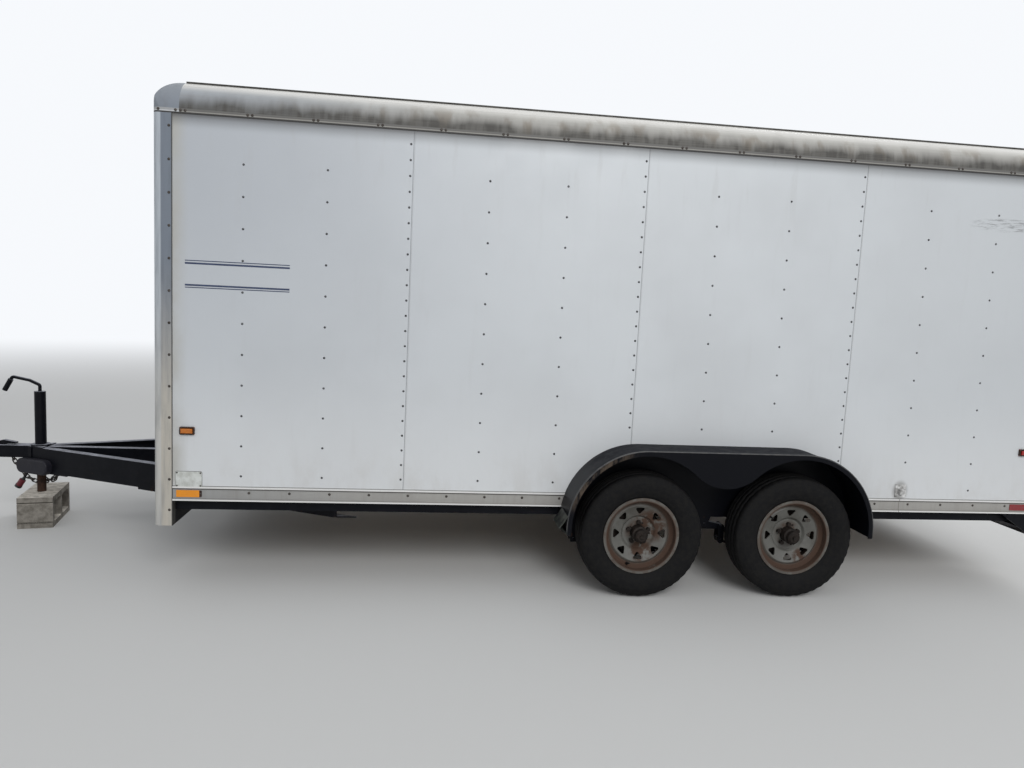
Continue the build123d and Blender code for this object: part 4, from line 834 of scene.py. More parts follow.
def make_concrete():
    made, tree, shader = new_finish("concrete_grey", block_side_grey, 0.92)
    shader.inputs["Specular IOR Level"].default_value = 0.2
    where = places_on_trailer(tree)
    height = part_of(tree, where, "Z")
    grain = between(tree, noise(tree, where, 26.0, 8.0, 0.62), 0.34, 0.68)
    sides = blend_colours(tree, grain, block_side_grey, block_deep)
    levels = (block_low.z + groove_in, block_high.z - groove_in)
    grooves = [(level - groove_tall / 2, level + groove_tall / 2, groove_shade) for level in levels]
    on_end = between(tree, size_of(tree, facing_way(tree, "Y")), 0.75, 0.90, 0.0, 0.85)
    sides = blend_colours(tree, on_end, sides, draw_lines(tree, height, sides, grooves))
    top = blend_colours(tree, grain, block_lit_top, block_lit_top_grain)
    # The top gets the painted light.
    facing_up = between(tree, facing_way(tree, "Z"), 0.5, 0.95)
    link(tree, blend_colours(tree, facing_up, sides, top), shader, "Base Color")
    add_bump(tree, shader, noise(tree, where, 104.0, 5.0), 0.004, 0.7)
    return made


concrete_grey = make_concrete()
print("block", round(block_high.z - block_low.z, 3), "m high")

# %% [markdown]
# ## Lamps
#
# A marker lamp is a dark base with a coloured lens that stands out of it. The lens has fine ribs inside
# that break up the bulb's light, and from outside they show as narrow stripes, so a band wave drives
# both the bump and a change of colour. The bands slant, so that one wave serves the lamps on the sides
# and those at the rear. The reflectors down on the rail have a colour of their own and fainter stripes.

# %% Mix the lens colours
def make_lens(name, colour, dark, on_rail):
    made, tree, shader = new_finish(name, colour, 0.26)
    shader.inputs["Coat Weight"].default_value = 0.2
    where = places_on_trailer(tree)
    low_down = between(tree, part_of(tree, where, "Z"), rail_high + 0.02, rail_high)
    ribs = new_node(tree, "ShaderNodeTexWave", {"Vector": where, "Scale": 95.0, "Distortion": 0.0},
                    wave_type="BANDS", bands_direction="DIAGONAL").outputs[1]
    shading = times(tree, ribs, between(tree, noise(tree, where, 30.0), 0.3, 0.7, 0.35, 0.8))
    shading = times(tree, shading, between(tree, low_down, 0.0, 1.0, 1.0, 0.35))
    colour = blend_colours(tree, shading, blend_colours(tree, low_down, colour, on_rail), dark)
    link(tree, colour, shader, "Base Color")
    add_bump(tree, shader, ribs, 0.0008, 0.6)
    return made


amber_plastic = make_lens("amber_plastic", (0.52, 0.150, 0.003), (0.26, 0.060, 0.002), (0.78, 0.275, 0.004))
red_plastic = make_lens("red_plastic", (0.40, 0.012, 0.008), (0.14, 0.004, 0.003), (0.21, 0.010, 0.014))
lamp_base_black = make_grained("lamp_base_black", (0.040, 0.018, 0.011), (0.020, 0.010, 0.007), 0.5, 60,
                               gloss=0.3)
print("two lenses and a dark base")

# %% [markdown]
# ## Painting the CAD pieces
#
# One table says which finish each CAD piece wears. A piece's shape stays as it is; only what is in its
# material slot changes.

# %% Give every CAD piece its finish
finishes = {
    white_coat: ["left_wall", "right_wall", "front_wall", "roof_panel", "rear_door_left", "rear_door_right",
                 "side_door"],
    roof_edge_metal: ["cove_left", "cove_right", "cove_front", "rear_header"],
    cap_metal: ["corner_caps"],
    post_metal: ["front_posts", "rear_posts"],
    rail_metal: ["bottom_rails", "side_door_frame"],
    frame_paint: ["main_rails", "crossmembers", "tongue_rails", "tongue_centre_member", "tongue_plates",
                  "front_skirt", "rear_sill", "coupler", "jack_tube", "axles", "leaf_springs",
                  "spring_hangers"],
    fender_paint: ["fender_left", "fender_right"],
    rusty_steel: ["jack_leg"],
    concrete_grey: ["concrete_block"],
    plywood_brown: ["floor_deck"],
    zinc_plate: ["lock_keepers", "hinge_straps_left", "hinge_straps_right", "lock_bar_left",
                 "lock_bar_right"],
    catch_zinc: ["door_catches"],
    chain_steel: ["safety_chains"],
    amber_plastic: ["amber_lamps"],
    red_plastic: ["red_lamps"],
    soft_black: ["cable_gland"],
    case_black: ["tongue_case"],
    tyre_rubber: [f"tyre_{end_side}" for end_side in wheel_places],
    hub_steel: [f"hub_{end_side}" for end_side in wheel_places],
}


def paint(node, finish):
    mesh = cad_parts[node].data
    mesh.materials.clear()
    mesh.materials.append(finish)


painted = 0
for finish, nodes in finishes.items():
    for node in nodes:
        paint(node, finish)
        painted += 1
print("painted", painted, "pieces")

# %% [markdown]
# ## Wiring cable
#
# The lighting cable leaves a gland under the coupler, hangs down for a hand's length, and ends
# in a round plug. Its steps from the gland are those of the CAD source, in metres, and become the control
# points of one smooth spline. The plug is dark red in the middle and black at both ends, told apart by
# the distance along its axis.

# %% Hang the cable and paint its plug
cable_exit = Vector((-2.958, 0.006, 0.446))
cable_diameter = 0.012
cable_steps = (
    (0, 0, 0),
    (0, 0, -0.034),
    (0.004, 0.001, -0.070),
    (0.001, 0.002, -0.105),
    (-0.009, 0.003, -0.137),
    (-0.026, 0.004, -0.162),
)
plug_red_from = 0.022
plug_red_to = 0.068
plug_edge = 0.0005
plug_red = (0.10, 0.006, 0.012)
plug_black = (0.010, 0.010, 0.011)


def make_cable():
    curve = bpy.data.curves.new("lighting_cable", "CURVE")
    curve.dimensions = "3D"
    curve.bevel_depth = cable_diameter / 2
    curve.bevel_resolution = 5
    curve.resolution_u = 10
    spline = curve.splines.new("NURBS")
    spline.points.add(len(cable_steps) - 1)
    for point, step in zip(spline.points, cable_steps):
        point.co = (*(cable_exit + Vector(step)), 1)
    spline.order_u = 3
    spline.use_endpoint_u = True
    curve.materials.append(soft_black)
    cable = bpy.data.objects.new("lighting_cable", curve)
    bpy.context.scene.collection.objects.link(cable)
    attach(cable, "chassis")
    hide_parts("trailer_cable")
    return cable


def make_plug_finish():
    made, tree, shader = new_finish("plug_finish", plug_red, 0.5)
    start = cable_exit + Vector(cable_steps[-1])
    axis = (Vector(cable_steps[-1]) - Vector(cable_steps[-2])).normalized()
    offset = vector_math(tree, "SUBTRACT", places_on_trailer(tree), tuple(start))
    along = vector_math(tree, "DOT_PRODUCT", offset, tuple(axis))
    red = times(tree, between(tree, along, plug_red_from - plug_edge, plug_red_from + plug_edge),
                between(tree, along, plug_red_to + plug_edge, plug_red_to - plug_edge))
    link(tree, blend_colours(tree, red, plug_black, plug_red), shader, "Base Color")
    return made


paint("cable_plug", make_plug_finish())
cable = make_cable()

# %% [markdown]
# ## Wheel paint
#
# The wheels are white steel, and the photograph shows rust all round the barrel and patches of it on
# the front wheel's disc. Their white is painted dark, as painted shade for the shadow under the fenders.
# Each wheel gets its own copy of the finish, measured from its own centre, so that the rust sits by
# radius. A different noise offset keeps the four from matching.

# %% Paint each wheel from its centre
# Painted shade: this white is dark because the wheels stand in the fenders' shadow.
shaded_wheel_white = (0.108, 0.107, 0.097)
wheel_grime = (0.044, 0.039, 0.031)
wheel_rust = (0.050, 0.025, 0.014)
barrel_starts = (0.150, 0.172)
barrel_ends = (0.200, 0.186)
lip_starts = (0.188, 0.196)
hub_ends = (0.085, 0.050)


def rust_by_radius(tree, radius, grain):
    # The rust of the barrel, round the hub and along the lip.
    barrel_grain = between(tree, grain, 0.20, 0.42)
    barrel = times(tree, between(tree, radius, *barrel_starts),
                   combine(tree, "MAXIMUM", between(tree, radius, *barrel_ends), 0.15))
    hub = times(tree, between(tree, radius, *hub_ends), between(tree, grain, 0.40, 0.62))
    lip = times(tree, between(tree, radius, *lip_starts), between(tree, grain, 0.46, 0.54))
    return times(tree, barrel, barrel_grain), times(tree, hub, 0.8), times(tree, lip, 0.55)


def make_wheel_paint(name, centre, patches, seed):
    made, tree, shader = new_finish(name, shaded_wheel_white, 0.5)
    where = places_on_trailer(tree)
    local = vector_math(tree, "ADD", where, tuple(-centre))
    flat = vector_math(tree, "MULTIPLY", local, (1, 0, 1))
    grain = noise(tree, stretched(tree, where, (1, 1, 1), (seed, 0, 0)), 22.0, 9.0, 0.66)
    rust, hub_stain, lip = rust_by_radius(tree, vector_math(tree, "LENGTH", flat), grain)
    patch_grain = between(tree, grain, 0.36, 0.54)
    for place, size in patches:
        inside = between(tree, vector_math(tree, "DISTANCE", flat, place), size, size * 0.45)
        rust = combine(tree, "MAXIMUM", rust, times(tree, inside, patch_grain))
    for more in (hub_stain, lip):
        rust = combine(tree, "MAXIMUM", rust, more)
    grime = between(tree, noise(tree, where, 9.0, 6.0), 0.38, 0.7)
    colour = cover(tree, shaded_wheel_white, [(times(tree, grime, 0.75), wheel_grime), (rust, wheel_rust)])
    link(tree, colour, shader, "Base Color")
    link(tree, between(tree, rust, 0.0, 1.0, 0.48, 0.85), shader, "Roughness")
    add_bump(tree, shader, grain, 0.0012, 0.7)
    return made


rust_patches = {
    "front_left": [((0.060, 0, 0.040), 0.125), ((0.020, 0, -0.095), 0.085)],
    "front_right": [((-0.050, 0, 0.060), 0.050)],
    "rear_left": [((0.070, 0, -0.120), 0.060)],
    "rear_right": [((0.040, 0, -0.100), 0.070)],
}
for seed, (end_side, centre) in enumerate(wheel_places.items()):
    finish = make_wheel_paint(f"wheel_paint_{end_side}", centre, rust_patches[end_side], 3.7 * seed)
    paint(f"wheel_{end_side}", finish)
print("painted", len(wheel_places), "wheels")

# %% [markdown]
# ## Building meshes from arrays
#
# Rivets and screws come by the hundred. Making an object of each would be slow, so one helper gathers
# the points and faces of all copies and turns them into a single mesh. A mirrored copy has its faces
# inside out, so each new mesh also has its faces turned outward before it is used.

# %% Write the mesh builders
def face_outward(mesh):
    shape = bmesh.new()
    shape.from_mesh(mesh)
    bmesh.ops.recalc_face_normals(shape, faces=shape.faces)
    shape.to_mesh(mesh)
    shape.free()


def make_piece(name, points, faces, finish, body, slot, smooth=True):
    mesh = bpy.data.meshes.new(name)
    mesh.from_pydata([tuple(point) for point in points], [], faces)
    mesh.validate()
    face_outward(mesh)
    mesh.materials.append(finish)
    mesh.polygons.foreach_set("use_smooth", [smooth] * len(mesh.polygons))
    made = bpy.data.objects.new(name, mesh)
    bpy.context.scene.collection.objects.link(made)
    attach(made, body)
    return made


def joined(shapes):
    points = []
    faces = []
    for more_points, more_faces in shapes:
        start = len(points)
        points += more_points
        faces += [tuple(start + index for index in face) for face in more_faces]
    return points, faces


def copies(shape, places, outward):
    # The shape set on each place with its Z turned to the outward direction.
    points, faces = shape
    turn = Vector(outward).to_track_quat("Z", "Y").to_matrix()
    placed = [([turn @ point + Vector(place) for point in points], faces) for place in places]
    return joined(placed)


print("mesh builders ready")

# %% [markdown]
# ### Rings of points
#
# Most of the small shapes are rings of points one above the other: a screw's head, a bar, a thin plate, a
# valve stem. The same few lines write the faces between the rings.

# %% Write the basic shapes
def circle(count):
    # Angles that share a whole turn evenly.
    return [2 * math.pi * index / count for index in range(count)]


def level_circle(radius, level, sides):
    # Points round Z, all at one level.
    return [Vector((radius * math.cos(angle), radius * math.sin(angle), level)) for angle in circle(sides)]


def tube_faces(rings, sides):
    # The quads between each ring of points and the next one.
    faces = []
    for ring in range(rings - 1):
        for index in range(sides):
            near = ring * sides + index
            beside = ring * sides + (index + 1) % sides
            faces.append((near, beside, beside + sides, near + sides))
    return faces


def closed_tube_faces(rings, sides):
    # The same, with a flat face over the first ring and another over the last.
    last = (rings - 1) * sides
    return [tuple(reversed(range(sides))), tuple(range(last, last + sides))] + tube_faces(rings, sides)


def dome(radius, height, sides, rings):
    # A shallow dome that stands on X and Y and bulges along Z.
    points = []
    for ring in range(rings):
        climb = math.pi / 2 * ring / rings
        points += level_circle(radius * math.cos(climb), height * math.sin(climb), sides)
    points.append(Vector((0, 0, height)))
    last = (rings - 1) * sides
    faces = tube_faces(rings, sides)
    faces += [(last + index, last + (index + 1) % sides, len(points) - 1) for index in range(sides)]
    return points, faces


def rounded_outline(width, height, corner, corner_steps):
    # A rectangle round 0, 0 with its corners rounded, or left sharp where the corner is 0.
    found = []
    for index, (way_x, way_y) in enumerate(((1, 1), (-1, 1), (-1, -1), (1, -1))):
        for step in range(corner_steps + 1 if corner else 1):
            angle = math.pi / 2 * (index + step / corner_steps)
            x = way_x * (width / 2 - corner) + corner * math.cos(angle)
            y = way_y * (height / 2 - corner) + corner * math.sin(angle)
            found.append((x, y))
    return found


print("a dome of 10 sides and 2 rings has", len(dome(1, 1, 10, 2)[1]), "faces")

# %% [markdown]
# ## Rivets
#
# Studs stand every 16 inches behind the sheets. Between the seams each stud shows one column of rivets,
# about two to a foot, and along each seam the rivets stand twice as close. The columns are counted back
# from the front corner and a loop fills them; a short test leaves out those that would fall on a fender
# or a door. The front wall has the same columns across its width.

# %% Set the rivets
rivet_radius = 0.0062
rivet_height = 0.0024
wide_step = 6.16 * inch
close_step = 3.08 * inch
wide_drop = 0.2213
close_drop = 0.0656
lowest_rivet = 0.05
clear_of_edge = 0.02
rivet_shape = dome(rivet_radius, rivet_height, 10, 2)
rivet_finish = make_grained("rivet_finish", (0.085, 0.088, 0.092), (0.035, 0.035, 0.036), 0.5, 60, 0.3)
side_door_low, side_door_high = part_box("side_door_frame")


def on_fender(x, z):
    # Under the fender's outline: upright sides, a quarter round over each axle and a level top.
    past_axle = max(front_axle_x - x, x - rear_axle_x, 0.0)
    above = max(z - fender_level, 0.0)
    return math.hypot(past_axle, above) < fender_rim + clear_of_edge


def on_side_door(x, z):
    in_width = side_door_low.x - clear_of_edge < x < side_door_high.x + clear_of_edge
    return in_width and side_door_low.z - clear_of_edge < z < side_door_high.z + clear_of_edge


def rivet_column(x, top, step):
    count = int((top - wall_low - lowest_rivet) / step) + 1
    return [(x, top - step * index) for index in range(count)]


def side_columns():
    found = []
    count = int((rear_post_x - front_x - first_stud) / stud_pitch) + 1
    for index in range(count):
        x = front_x + first_stud + stud_pitch * index
        if index % seam_every == first_seam:
            found += rivet_column(x, wall_high - close_drop, close_step)
        else:
            found += rivet_column(x, wall_high - wide_drop, wide_step)
    return [(x, z) for x, z in found if not on_fender(x, z)]


grid = side_columns()
left_places = [(x, -side_y, z) for x, z in grid]
right_places = [(x, side_y, z) for x, z in grid if not on_side_door(x, z)]
front_wall_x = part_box("front_wall")[0].x
front_places = []
for step in range(-2, 3):
    column = rivet_column(step * stud_pitch, wall_high - wide_drop, wide_step)
    front_places += [(front_wall_x, y, z) for y, z in column]
for name, places, outward in (
    ("rivets_left", left_places, (0, -1, 0)),
    ("rivets_right", right_places, (0, 1, 0)),
    ("rivets_front", front_places, (-1, 0, 0)),
):
    make_piece(name, *copies(rivet_shape, places, outward), rivet_finish, "chassis", "white_sheet")
    print(name, len(places))

# %% [markdown]
# ## Screws along the rails, posts and roof edges
#
# The extrusions are held by pan-head screws that have gone brown. They follow the edges in even steps.
# Along the roof edge they come in close pairs, with two single ones on the corner cap ahead of them. The
# side door's frame has a column of them down each of its sides.

# %% Drive the screws
screw_radius = 0.0072
screw_height = 0.0034
screw_shape = dome(screw_radius, screw_height, 10, 2)
screw_finish = make_grained("screw_finish", (0.070, 0.060, 0.052), (0.030, 0.024, 0.020), 0.6, 60, 0.4)
pair_gap = 0.011
rail_pitch = 8 * inch
post_pitch = 6.2 * inch
pair_pitch = 12.6 * inch
first_rail_screw = 0.470
cap_screws = (0.030, 0.110)
first_pair = 0.144
last_pair = 0.06
front_post_in = 0.015
rear_post_in = 0.014
post_screws_top = wall_high - 0.06
frame_screw_in = 0.012
frame_screw_end = 0.05
rail_level = rail_low + (rail_high - rail_low) * 0.60
flange_level = wall_high + 0.015
front_post_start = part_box("front_posts")[0].z + 0.083
rear_post_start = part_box("rear_posts")[0].z + 0.05


def even_steps(start, end, pitch):
    count = max(1, round(abs(end - start) / pitch))
    return [start + (end - start) * index / count for index in range(count + 1)]


def screws_along_rail():
    count = int((rear_post_x - front_x - first_rail_screw) / rail_pitch) + 1
    columns = [front_x + first_rail_screw + rail_pitch * index for index in range(count)]
    return [(x, rail_level) for x in columns if not on_fender(x, rail_level)]


def screws_on_posts():
    front_column = post_back_x - front_post_in
    rear_column = rear_post_x + rear_post_in
    front = [(front_column, z) for z in even_steps(front_post_start, post_screws_top, post_pitch)]
    rear = [(rear_column, z) for z in even_steps(rear_post_start, post_screws_top, post_pitch)]
    return front + rear


def screws_along_roof_edge():
    found = [(front_x + from_front, flange_level) for from_front in cap_screws]
    for x in even_steps(front_x + first_pair, rear_post_x - last_pair, pair_pitch):
        found += [(x - pair_gap, flange_level), (x + pair_gap, flange_level)]
    return found


def screws_round_side_door():
    columns = (side_door_low.x + frame_screw_in, side_door_high.x - frame_screw_in)
    levels = even_steps(side_door_low.z + frame_screw_end, side_door_high.z - frame_screw_end, rail_pitch)
    return [(x, z) for x in columns for z in levels]


def screws_on_side(side):
    found = [(x, side * side_y, z) for x, z in screws_along_rail()]
    on_proud_face = screws_along_roof_edge() + screws_on_posts()
    if side > 0:
        on_proud_face += screws_round_side_door()
    return found + [(x, side * proud_y, z) for x, z in on_proud_face]


for name, side in (("screws_left", -1), ("screws_right", 1)):
    places = screws_on_side(side)
    make_piece(name, *copies(screw_shape, places, (0, side, 0)), screw_finish, "chassis", "bright_steel")
    print(name, len(places))

# %% [markdown]
# ## Hem of the roof sheet
#
# The roof's sheet laps over the rounded edge and ends there in a folded hem that stands up a little. Its
# dark colour is painted shade, and against the sky it shows as a thin dark line along the whole roof. It is
# a small round bar, set on the rounded edge some way down from the top, so that it stays lower than the
# roof itself.

# %% Lay the hem along both sides
def bar_along(start_x, end_x, y, z, radius, sides=10):
    # A round bar along X with flat ends.
    points = []
    for x in (start_x, end_x):
        for angle in circle(sides):
            points.append(Vector((x, y + radius * math.cos(angle), z + radius * math.sin(angle))))
    return points, closed_tube_faces(2, sides)


hem_radius = 0.0048
hem_stand = 0.0040
hem_turn = math.radians(20)
edge_radius = proud_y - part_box("roof_panel")[1].y
hem_reach = edge_radius + hem_stand
hem_y = proud_y - edge_radius + hem_reach * math.sin(hem_turn)
hem_z = roof_z - edge_radius + hem_reach * math.cos(hem_turn)
hem_in = 0.004
hem_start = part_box("cove_left")[0].x + hem_in
hem_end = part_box("cove_left")[1].x
# The hem's dark colour is painted shade.
hem_painted_shade = make_grained("hem_painted_shade", (0.085, 0.082, 0.074), (0.045, 0.043, 0.038), 0.7, 24, gloss=0.3)
for name, side in (("roof_hem_left", -1), ("roof_hem_right", 1)):
    bar = bar_along(hem_start, hem_end, side * hem_y, hem_z, hem_radius)
    make_piece(name, *bar, hem_painted_shade, "chassis", "black_rubber")
print("hem at", round(hem_z, 4), "under a roof at", round(roof_z, 4))

# %% [markdown]
# ## Flat pieces on the left side
#
# Two pairs of dark blue lines frame a space near the front, which stays bare here, and a small
# blank plate is screwed on below. Each is a thin slab that starts just under the sheet's surface and
# stands out of it, the lines by half a millimetre and the plate by 1.6 mm, so that neither flickers with
# the surface. The plate's corners are rounded off, and a slightly larger dark slab behind it is the plate's
# painted shadow round its edge.

# %% Lay the lines and the plate
def slab(x0, x1, z0, z1, face_y, thick, corner=0.0):
    # A thin plate on a side's face, as a closed prism.
    middle_x = (x0 + x1) / 2
    middle_z = (z0 + z1) / 2
    outline = rounded_outline(x1 - x0, z1 - z0, corner, 4)
    points = [(middle_x + x, y, middle_z + z) for y in (face_y, face_y + thick) for x, z in outline]
    return points, closed_tube_faces(2, len(outline))


under_surface = 0.0002
left_face = -side_y + under_surface
line_thick = 0.0007
line_ends = (-1.660, -1.155)
line_heights = ((1.6590, 0.0045), (1.6455, 0.0090), (1.5385, 0.0090), (1.5265, 0.0045))
line_blue = make_grained("line_blue", (0.018, 0.030, 0.075), (0.030, 0.045, 0.100), 0.45, 40)
lines = [slab(*line_ends, z - tall / 2, z + tall / 2, left_face, -line_thick) for z, tall in line_heights]
make_piece("blue_lines", *joined(lines), line_blue, "chassis", "white_sheet", smooth=False)

plate_x = (-1.705, -1.576)
plate_z = (0.513, 0.594)
shadow_margin = 0.0016
plate_thick = 0.0018
shadow_thick = 0.0009
screw_in = 0.007
screw_seat = 0.0014
plate_white = make_grained("plate_white", (0.60, 0.62, 0.60), (0.42, 0.43, 0.40), 0.55, 26)
plate = slab(*plate_x, *plate_z, left_face, -plate_thick, corner=0.008)
# A slightly larger dark slab behind the plate is its painted shadow.
plate_shadow_slab = slab(plate_x[0] - shadow_margin, plate_x[1] + shadow_margin, plate_z[0] - shadow_margin, plate_z[1] + shadow_margin,
           left_face, -shadow_thick, corner=0.009)
make_piece("plate_shadow", *plate_shadow_slab, soft_black, "chassis", "black_rubber", smooth=False)
make_piece("blank_plate", *plate, plate_white, "chassis", "white_sheet", smooth=False)

plate_screw = dome(0.0048, 0.0022, 10, 2)
places = [(x, -side_y - screw_seat, z) for x in (plate_x[0] + screw_in, plate_x[1] - screw_in)
          for z in (plate_z[0] + screw_in, plate_z[1] - screw_in)]
make_piece("plate_screws", *copies(plate_screw, places, (0, -1, 0)), screw_finish, "chassis", "bright_steel")
print("lines", round(line_ends[1] - line_ends[0], 3), "m long")
print("plate", round(plate_x[1] - plate_x[0], 3), "m wide")

# %% [markdown]
# ## Lamp bases and reflector ends
#
# The CAD lamps wear their lens colour. A dark frame goes round each marker's foot, made as a rounded
# outline that is lofted inward: out at the sheet, up, and in to the lens. The reflectors end in a small
# dark tab with a screw.

# %% Frame the lamps
def frame_ring(width, height, band, depth, corner=0.006):
    # In its own X and Y, standing up along Z. Its loops climb the outside, cross the top and go down inside.
    loops = ((0.0, 0.0), (0.0, depth - rim_round), (rim_round, depth), (band, depth), (band, 0.0))
    points = []
    for inset, level in loops:
        outline = rounded_outline(width - 2 * inset, height - 2 * inset, max(corner - inset, 0.001), 3)
        points += [Vector((x, y, level)) for x, y in outline]
    return points, tube_faces(len(loops), len(outline))


rim_round = 0.0015
lamp_width = 0.0730
lamp_height = 0.0400
lamp_band = 0.0075
lamp_depth = 0.0125
marker_from_front = 0.1655
marker_from_rear = 0.1695
header_lamp_step = 0.18
reflector_from_front = 0.225
reflector_from_rear = 0.109
reflector_half = 0.018
tab_in = 0.003
tab_out = 0.012
tab_trim = 0.001
tab_under = 0.0006
tab_thick = 0.0034
tab_screw_seat = 0.0026
marker_ring = frame_ring(lamp_width, lamp_height, lamp_band, lamp_depth)
front_lamp_x = front_x + marker_from_front
rear_lamp_x = rear_x - marker_from_rear
lamp_z = 0.805
header_z = (wall_high + roof_z) / 2


def turned_to(shape, place, outward, upright):
    # The shape with its Z outward and its Y up.
    out = Vector(outward)
    up = Vector(upright)
    turn = Matrix((up.cross(out), up, out)).transposed()
    points, faces = shape
    return [turn @ point + Vector(place) for point in points], faces


rings = []
for side in (-1, 1):
    for x in (front_lamp_x, rear_lamp_x):
        rings.append(turned_to(marker_ring, (x, side * side_y, lamp_z), (0, side, 0), (0, 0, 1)))
for y in (-header_lamp_step, 0, header_lamp_step):
    rings.append(turned_to(marker_ring, (rear_x, y, header_z), (1, 0, 0), (0, 0, 1)))
make_piece("lamp_frames", *joined(rings), lamp_base_black, "chassis", "black_rubber")
reflector_middle = (rail_low + rail_high) / 2
tab_half = reflector_half - tab_trim
reflector_ends = (front_x + reflector_from_front, rear_x - reflector_from_rear)
tabs = []
tab_screws = []
for side in (-1, 1):
    for x in reflector_ends:
        tabs.append(slab(x - tab_in, x + tab_out, reflector_middle - tab_half, reflector_middle + tab_half,
                         side * (side_y - tab_under), side * tab_thick, corner=0.004))
        tab_screws.append((x + tab_out / 2, side * (side_y + tab_screw_seat), reflector_middle))
make_piece("reflector_tabs", *joined(tabs), lamp_base_black, "chassis", "black_rubber", smooth=False)
small_screw = dome(0.0036, 0.0016, 10, 2)
for name, side in (("tab_screws_left", -1), ("tab_screws_right", 1)):
    places = [place for place in tab_screws if place[1] * side > 0]
    make_piece(name, *copies(small_screw, places, (0, side, 0)), screw_finish, "chassis", "bright_steel")
print(len(rings), "lamp frames and", len(tabs), "reflector tabs")

# %% [markdown]
# ## Tyres
#
# The CAD tyre is a smooth ring. A trailer tyre has straight ribs with slightly wavy grooves between
# them, small lugs along the shoulder, and a few thin raised rings on its sidewall. All of it comes from
# one outline that is carried round the axle in steps. In every second pair of steps, called odd here,
# the groove edges move a little sideways and the shoulder dips, which draws the waves and the lugs. The
# sidewall's curve runs through the same three points as the CAD's, so the two shapes match.

# %% Name the sizes of a tyre
tyre_steps = 176
bead_radius = 0.2064
bead_out = 0.0752
belly_out = 0.0995
belly_radius = (bead_radius + tyre_radius) / 2 - 0.008
shoulder_radius = tyre_radius - 0.0105
shoulder_out = 0.086
tread_out = 0.078
tread_radius = tyre_radius - 0.0072
groove_depth = 0.0075
groove_half = 0.0042
groove_places = (0.019, 0.052)
groove_taper = 0.7
groove_wave = 0.0022
lug_dip = 0.0022
lug_samples = 3
tread_dip_share = 0.6
ring_rise = 0.0009
side_samples = 26
ring_samples = (3, 4, 17, 18, 21)
print("tread", round(2 * tread_out, 3), "m wide, grooves", groove_depth, "m deep")

# %% [markdown]
# ### Half of the outline
#
# Each point is how far it lies out from the wheel's middle plane, and its radius. They run from the bead
# up the sidewall and across to the middle of the tread. The other half is the mirror image.

# %% Write the tyre's outline
def arc_through(first, middle, last, count):
    # Points on the circle through three points, from the first to the last, each with the way outward.
    (ax, ay), (bx, by), (cx, cy) = first, middle, last
    divisor = 2 * (ax * (by - cy) + bx * (cy - ay) + cx * (ay - by))
    squares = [x * x + y * y for x, y in (first, middle, last)]
    centre_x = (squares[0] * (by - cy) + squares[1] * (cy - ay) + squares[2] * (ay - by)) / divisor
    centre_y = (squares[0] * (cx - bx) + squares[1] * (ax - cx) + squares[2] * (bx - ax)) / divisor
    radius = math.hypot(ax - centre_x, ay - centre_y)
    start = math.atan2(ay - centre_y, ax - centre_x)
    end = math.atan2(cy - centre_y, cx - centre_x)
    found = []
    for index in range(count):
        angle = start + (end - start) * index / (count - 1)
        way_x, way_y = math.cos(angle), math.sin(angle)
        found.append((centre_x + radius * way_x, centre_y + radius * way_y, way_x, way_y))
    return found


def sidewall(odd):
    # From the bead up to the shoulder, with the raised rings, and the dips between the lugs where it is odd.
    found = []
    belly = (belly_out, belly_radius)
    side = arc_through((bead_out, bead_radius), belly, (shoulder_out, shoulder_radius), side_samples)
    for index, (out, radius, way_out, way_up) in enumerate(side):
        rise = ring_rise if index in ring_samples else 0.0
        into_lug = index - (side_samples - 1 - lug_samples)
        if into_lug > 0:
            rise -= lug_dip * odd * into_lug / lug_samples
        found.append((out + rise * way_out, radius + rise * way_up))
    return found


def tread(odd):
    # From the shoulder to the tread's middle. The grooves lie to one side where it is odd.
    shift = groove_wave if odd else -groove_wave
    foot = groove_half * groove_taper
    found = [(tread_out, tread_radius - lug_dip * odd * tread_dip_share)]
    for place in reversed(groove_places):
        crown = tyre_radius - (tyre_radius - tread_radius) * ((place / tread_out) ** 2)
        bottom = crown - groove_depth
        for out, radius in ((groove_half, crown), (foot, bottom), (-foot, bottom), (-groove_half, crown)):
            found.append((place + out + shift, radius))
    return found + [(0.0, tyre_radius)]


print("half of the outline has", len(sidewall(0) + tread(0)), "points")

# %% [markdown]
# ### Four tyres
#
# The outline is carried round the axle once, and that mesh is then set on each wheel's centre.

# %% Turn the tyres
def make_tyre_mesh():
    points = []
    for step, angle in enumerate(circle(tyre_steps)):
        odd = step // 2 % 2
        half = sidewall(odd) + tread(odd)
        whole = half + [(-out, radius) for out, radius in reversed(half[:-1])]
        points += [Vector((radius * math.cos(angle), out, radius * math.sin(angle))) for out, radius in whole]
    count = len(points) // tyre_steps
    faces = []
    for step in range(tyre_steps):
        here, there = step * count, (step + 1) % tyre_steps * count
        for index in range(count):
            beside = (index + 1) % count
            faces.append((here + index, there + index, there + beside, here + beside))
    return points, faces


tyre_points, tyre_faces = make_tyre_mesh()
for end_side, centre in wheel_places.items():
    placed = [point + centre for point in tyre_points]
    tyre = make_piece(f"ribbed_tyre_{end_side}", placed, tyre_faces, tyre_rubber,
                      f"{end_side}_wheel", "tyre_black")
    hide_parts(f"tyre_{end_side}")
print("tyres of", len(tyre_faces), "faces each, radius", round(tyre_radius, 3))

# %% [markdown]
# ## Wheel details
#
# Each wheel has a rubber valve stem that leans out of the rim's barrel, and its five nuts sit on studs
# whose ends show as small rounded tips. Both ride on the wheel, so they go round with it. A stem is a
# short outline turned round its own axis.

# %% Add valve stems and stud tips
def turned_outline(outline, sides):
    # Pairs of radius and height, turned round Z and closed with a flat face at each end.
    points = []
    for radius, height in outline:
        points += level_circle(radius, height, sides)
    return points, closed_tube_faces(len(outline), sides)


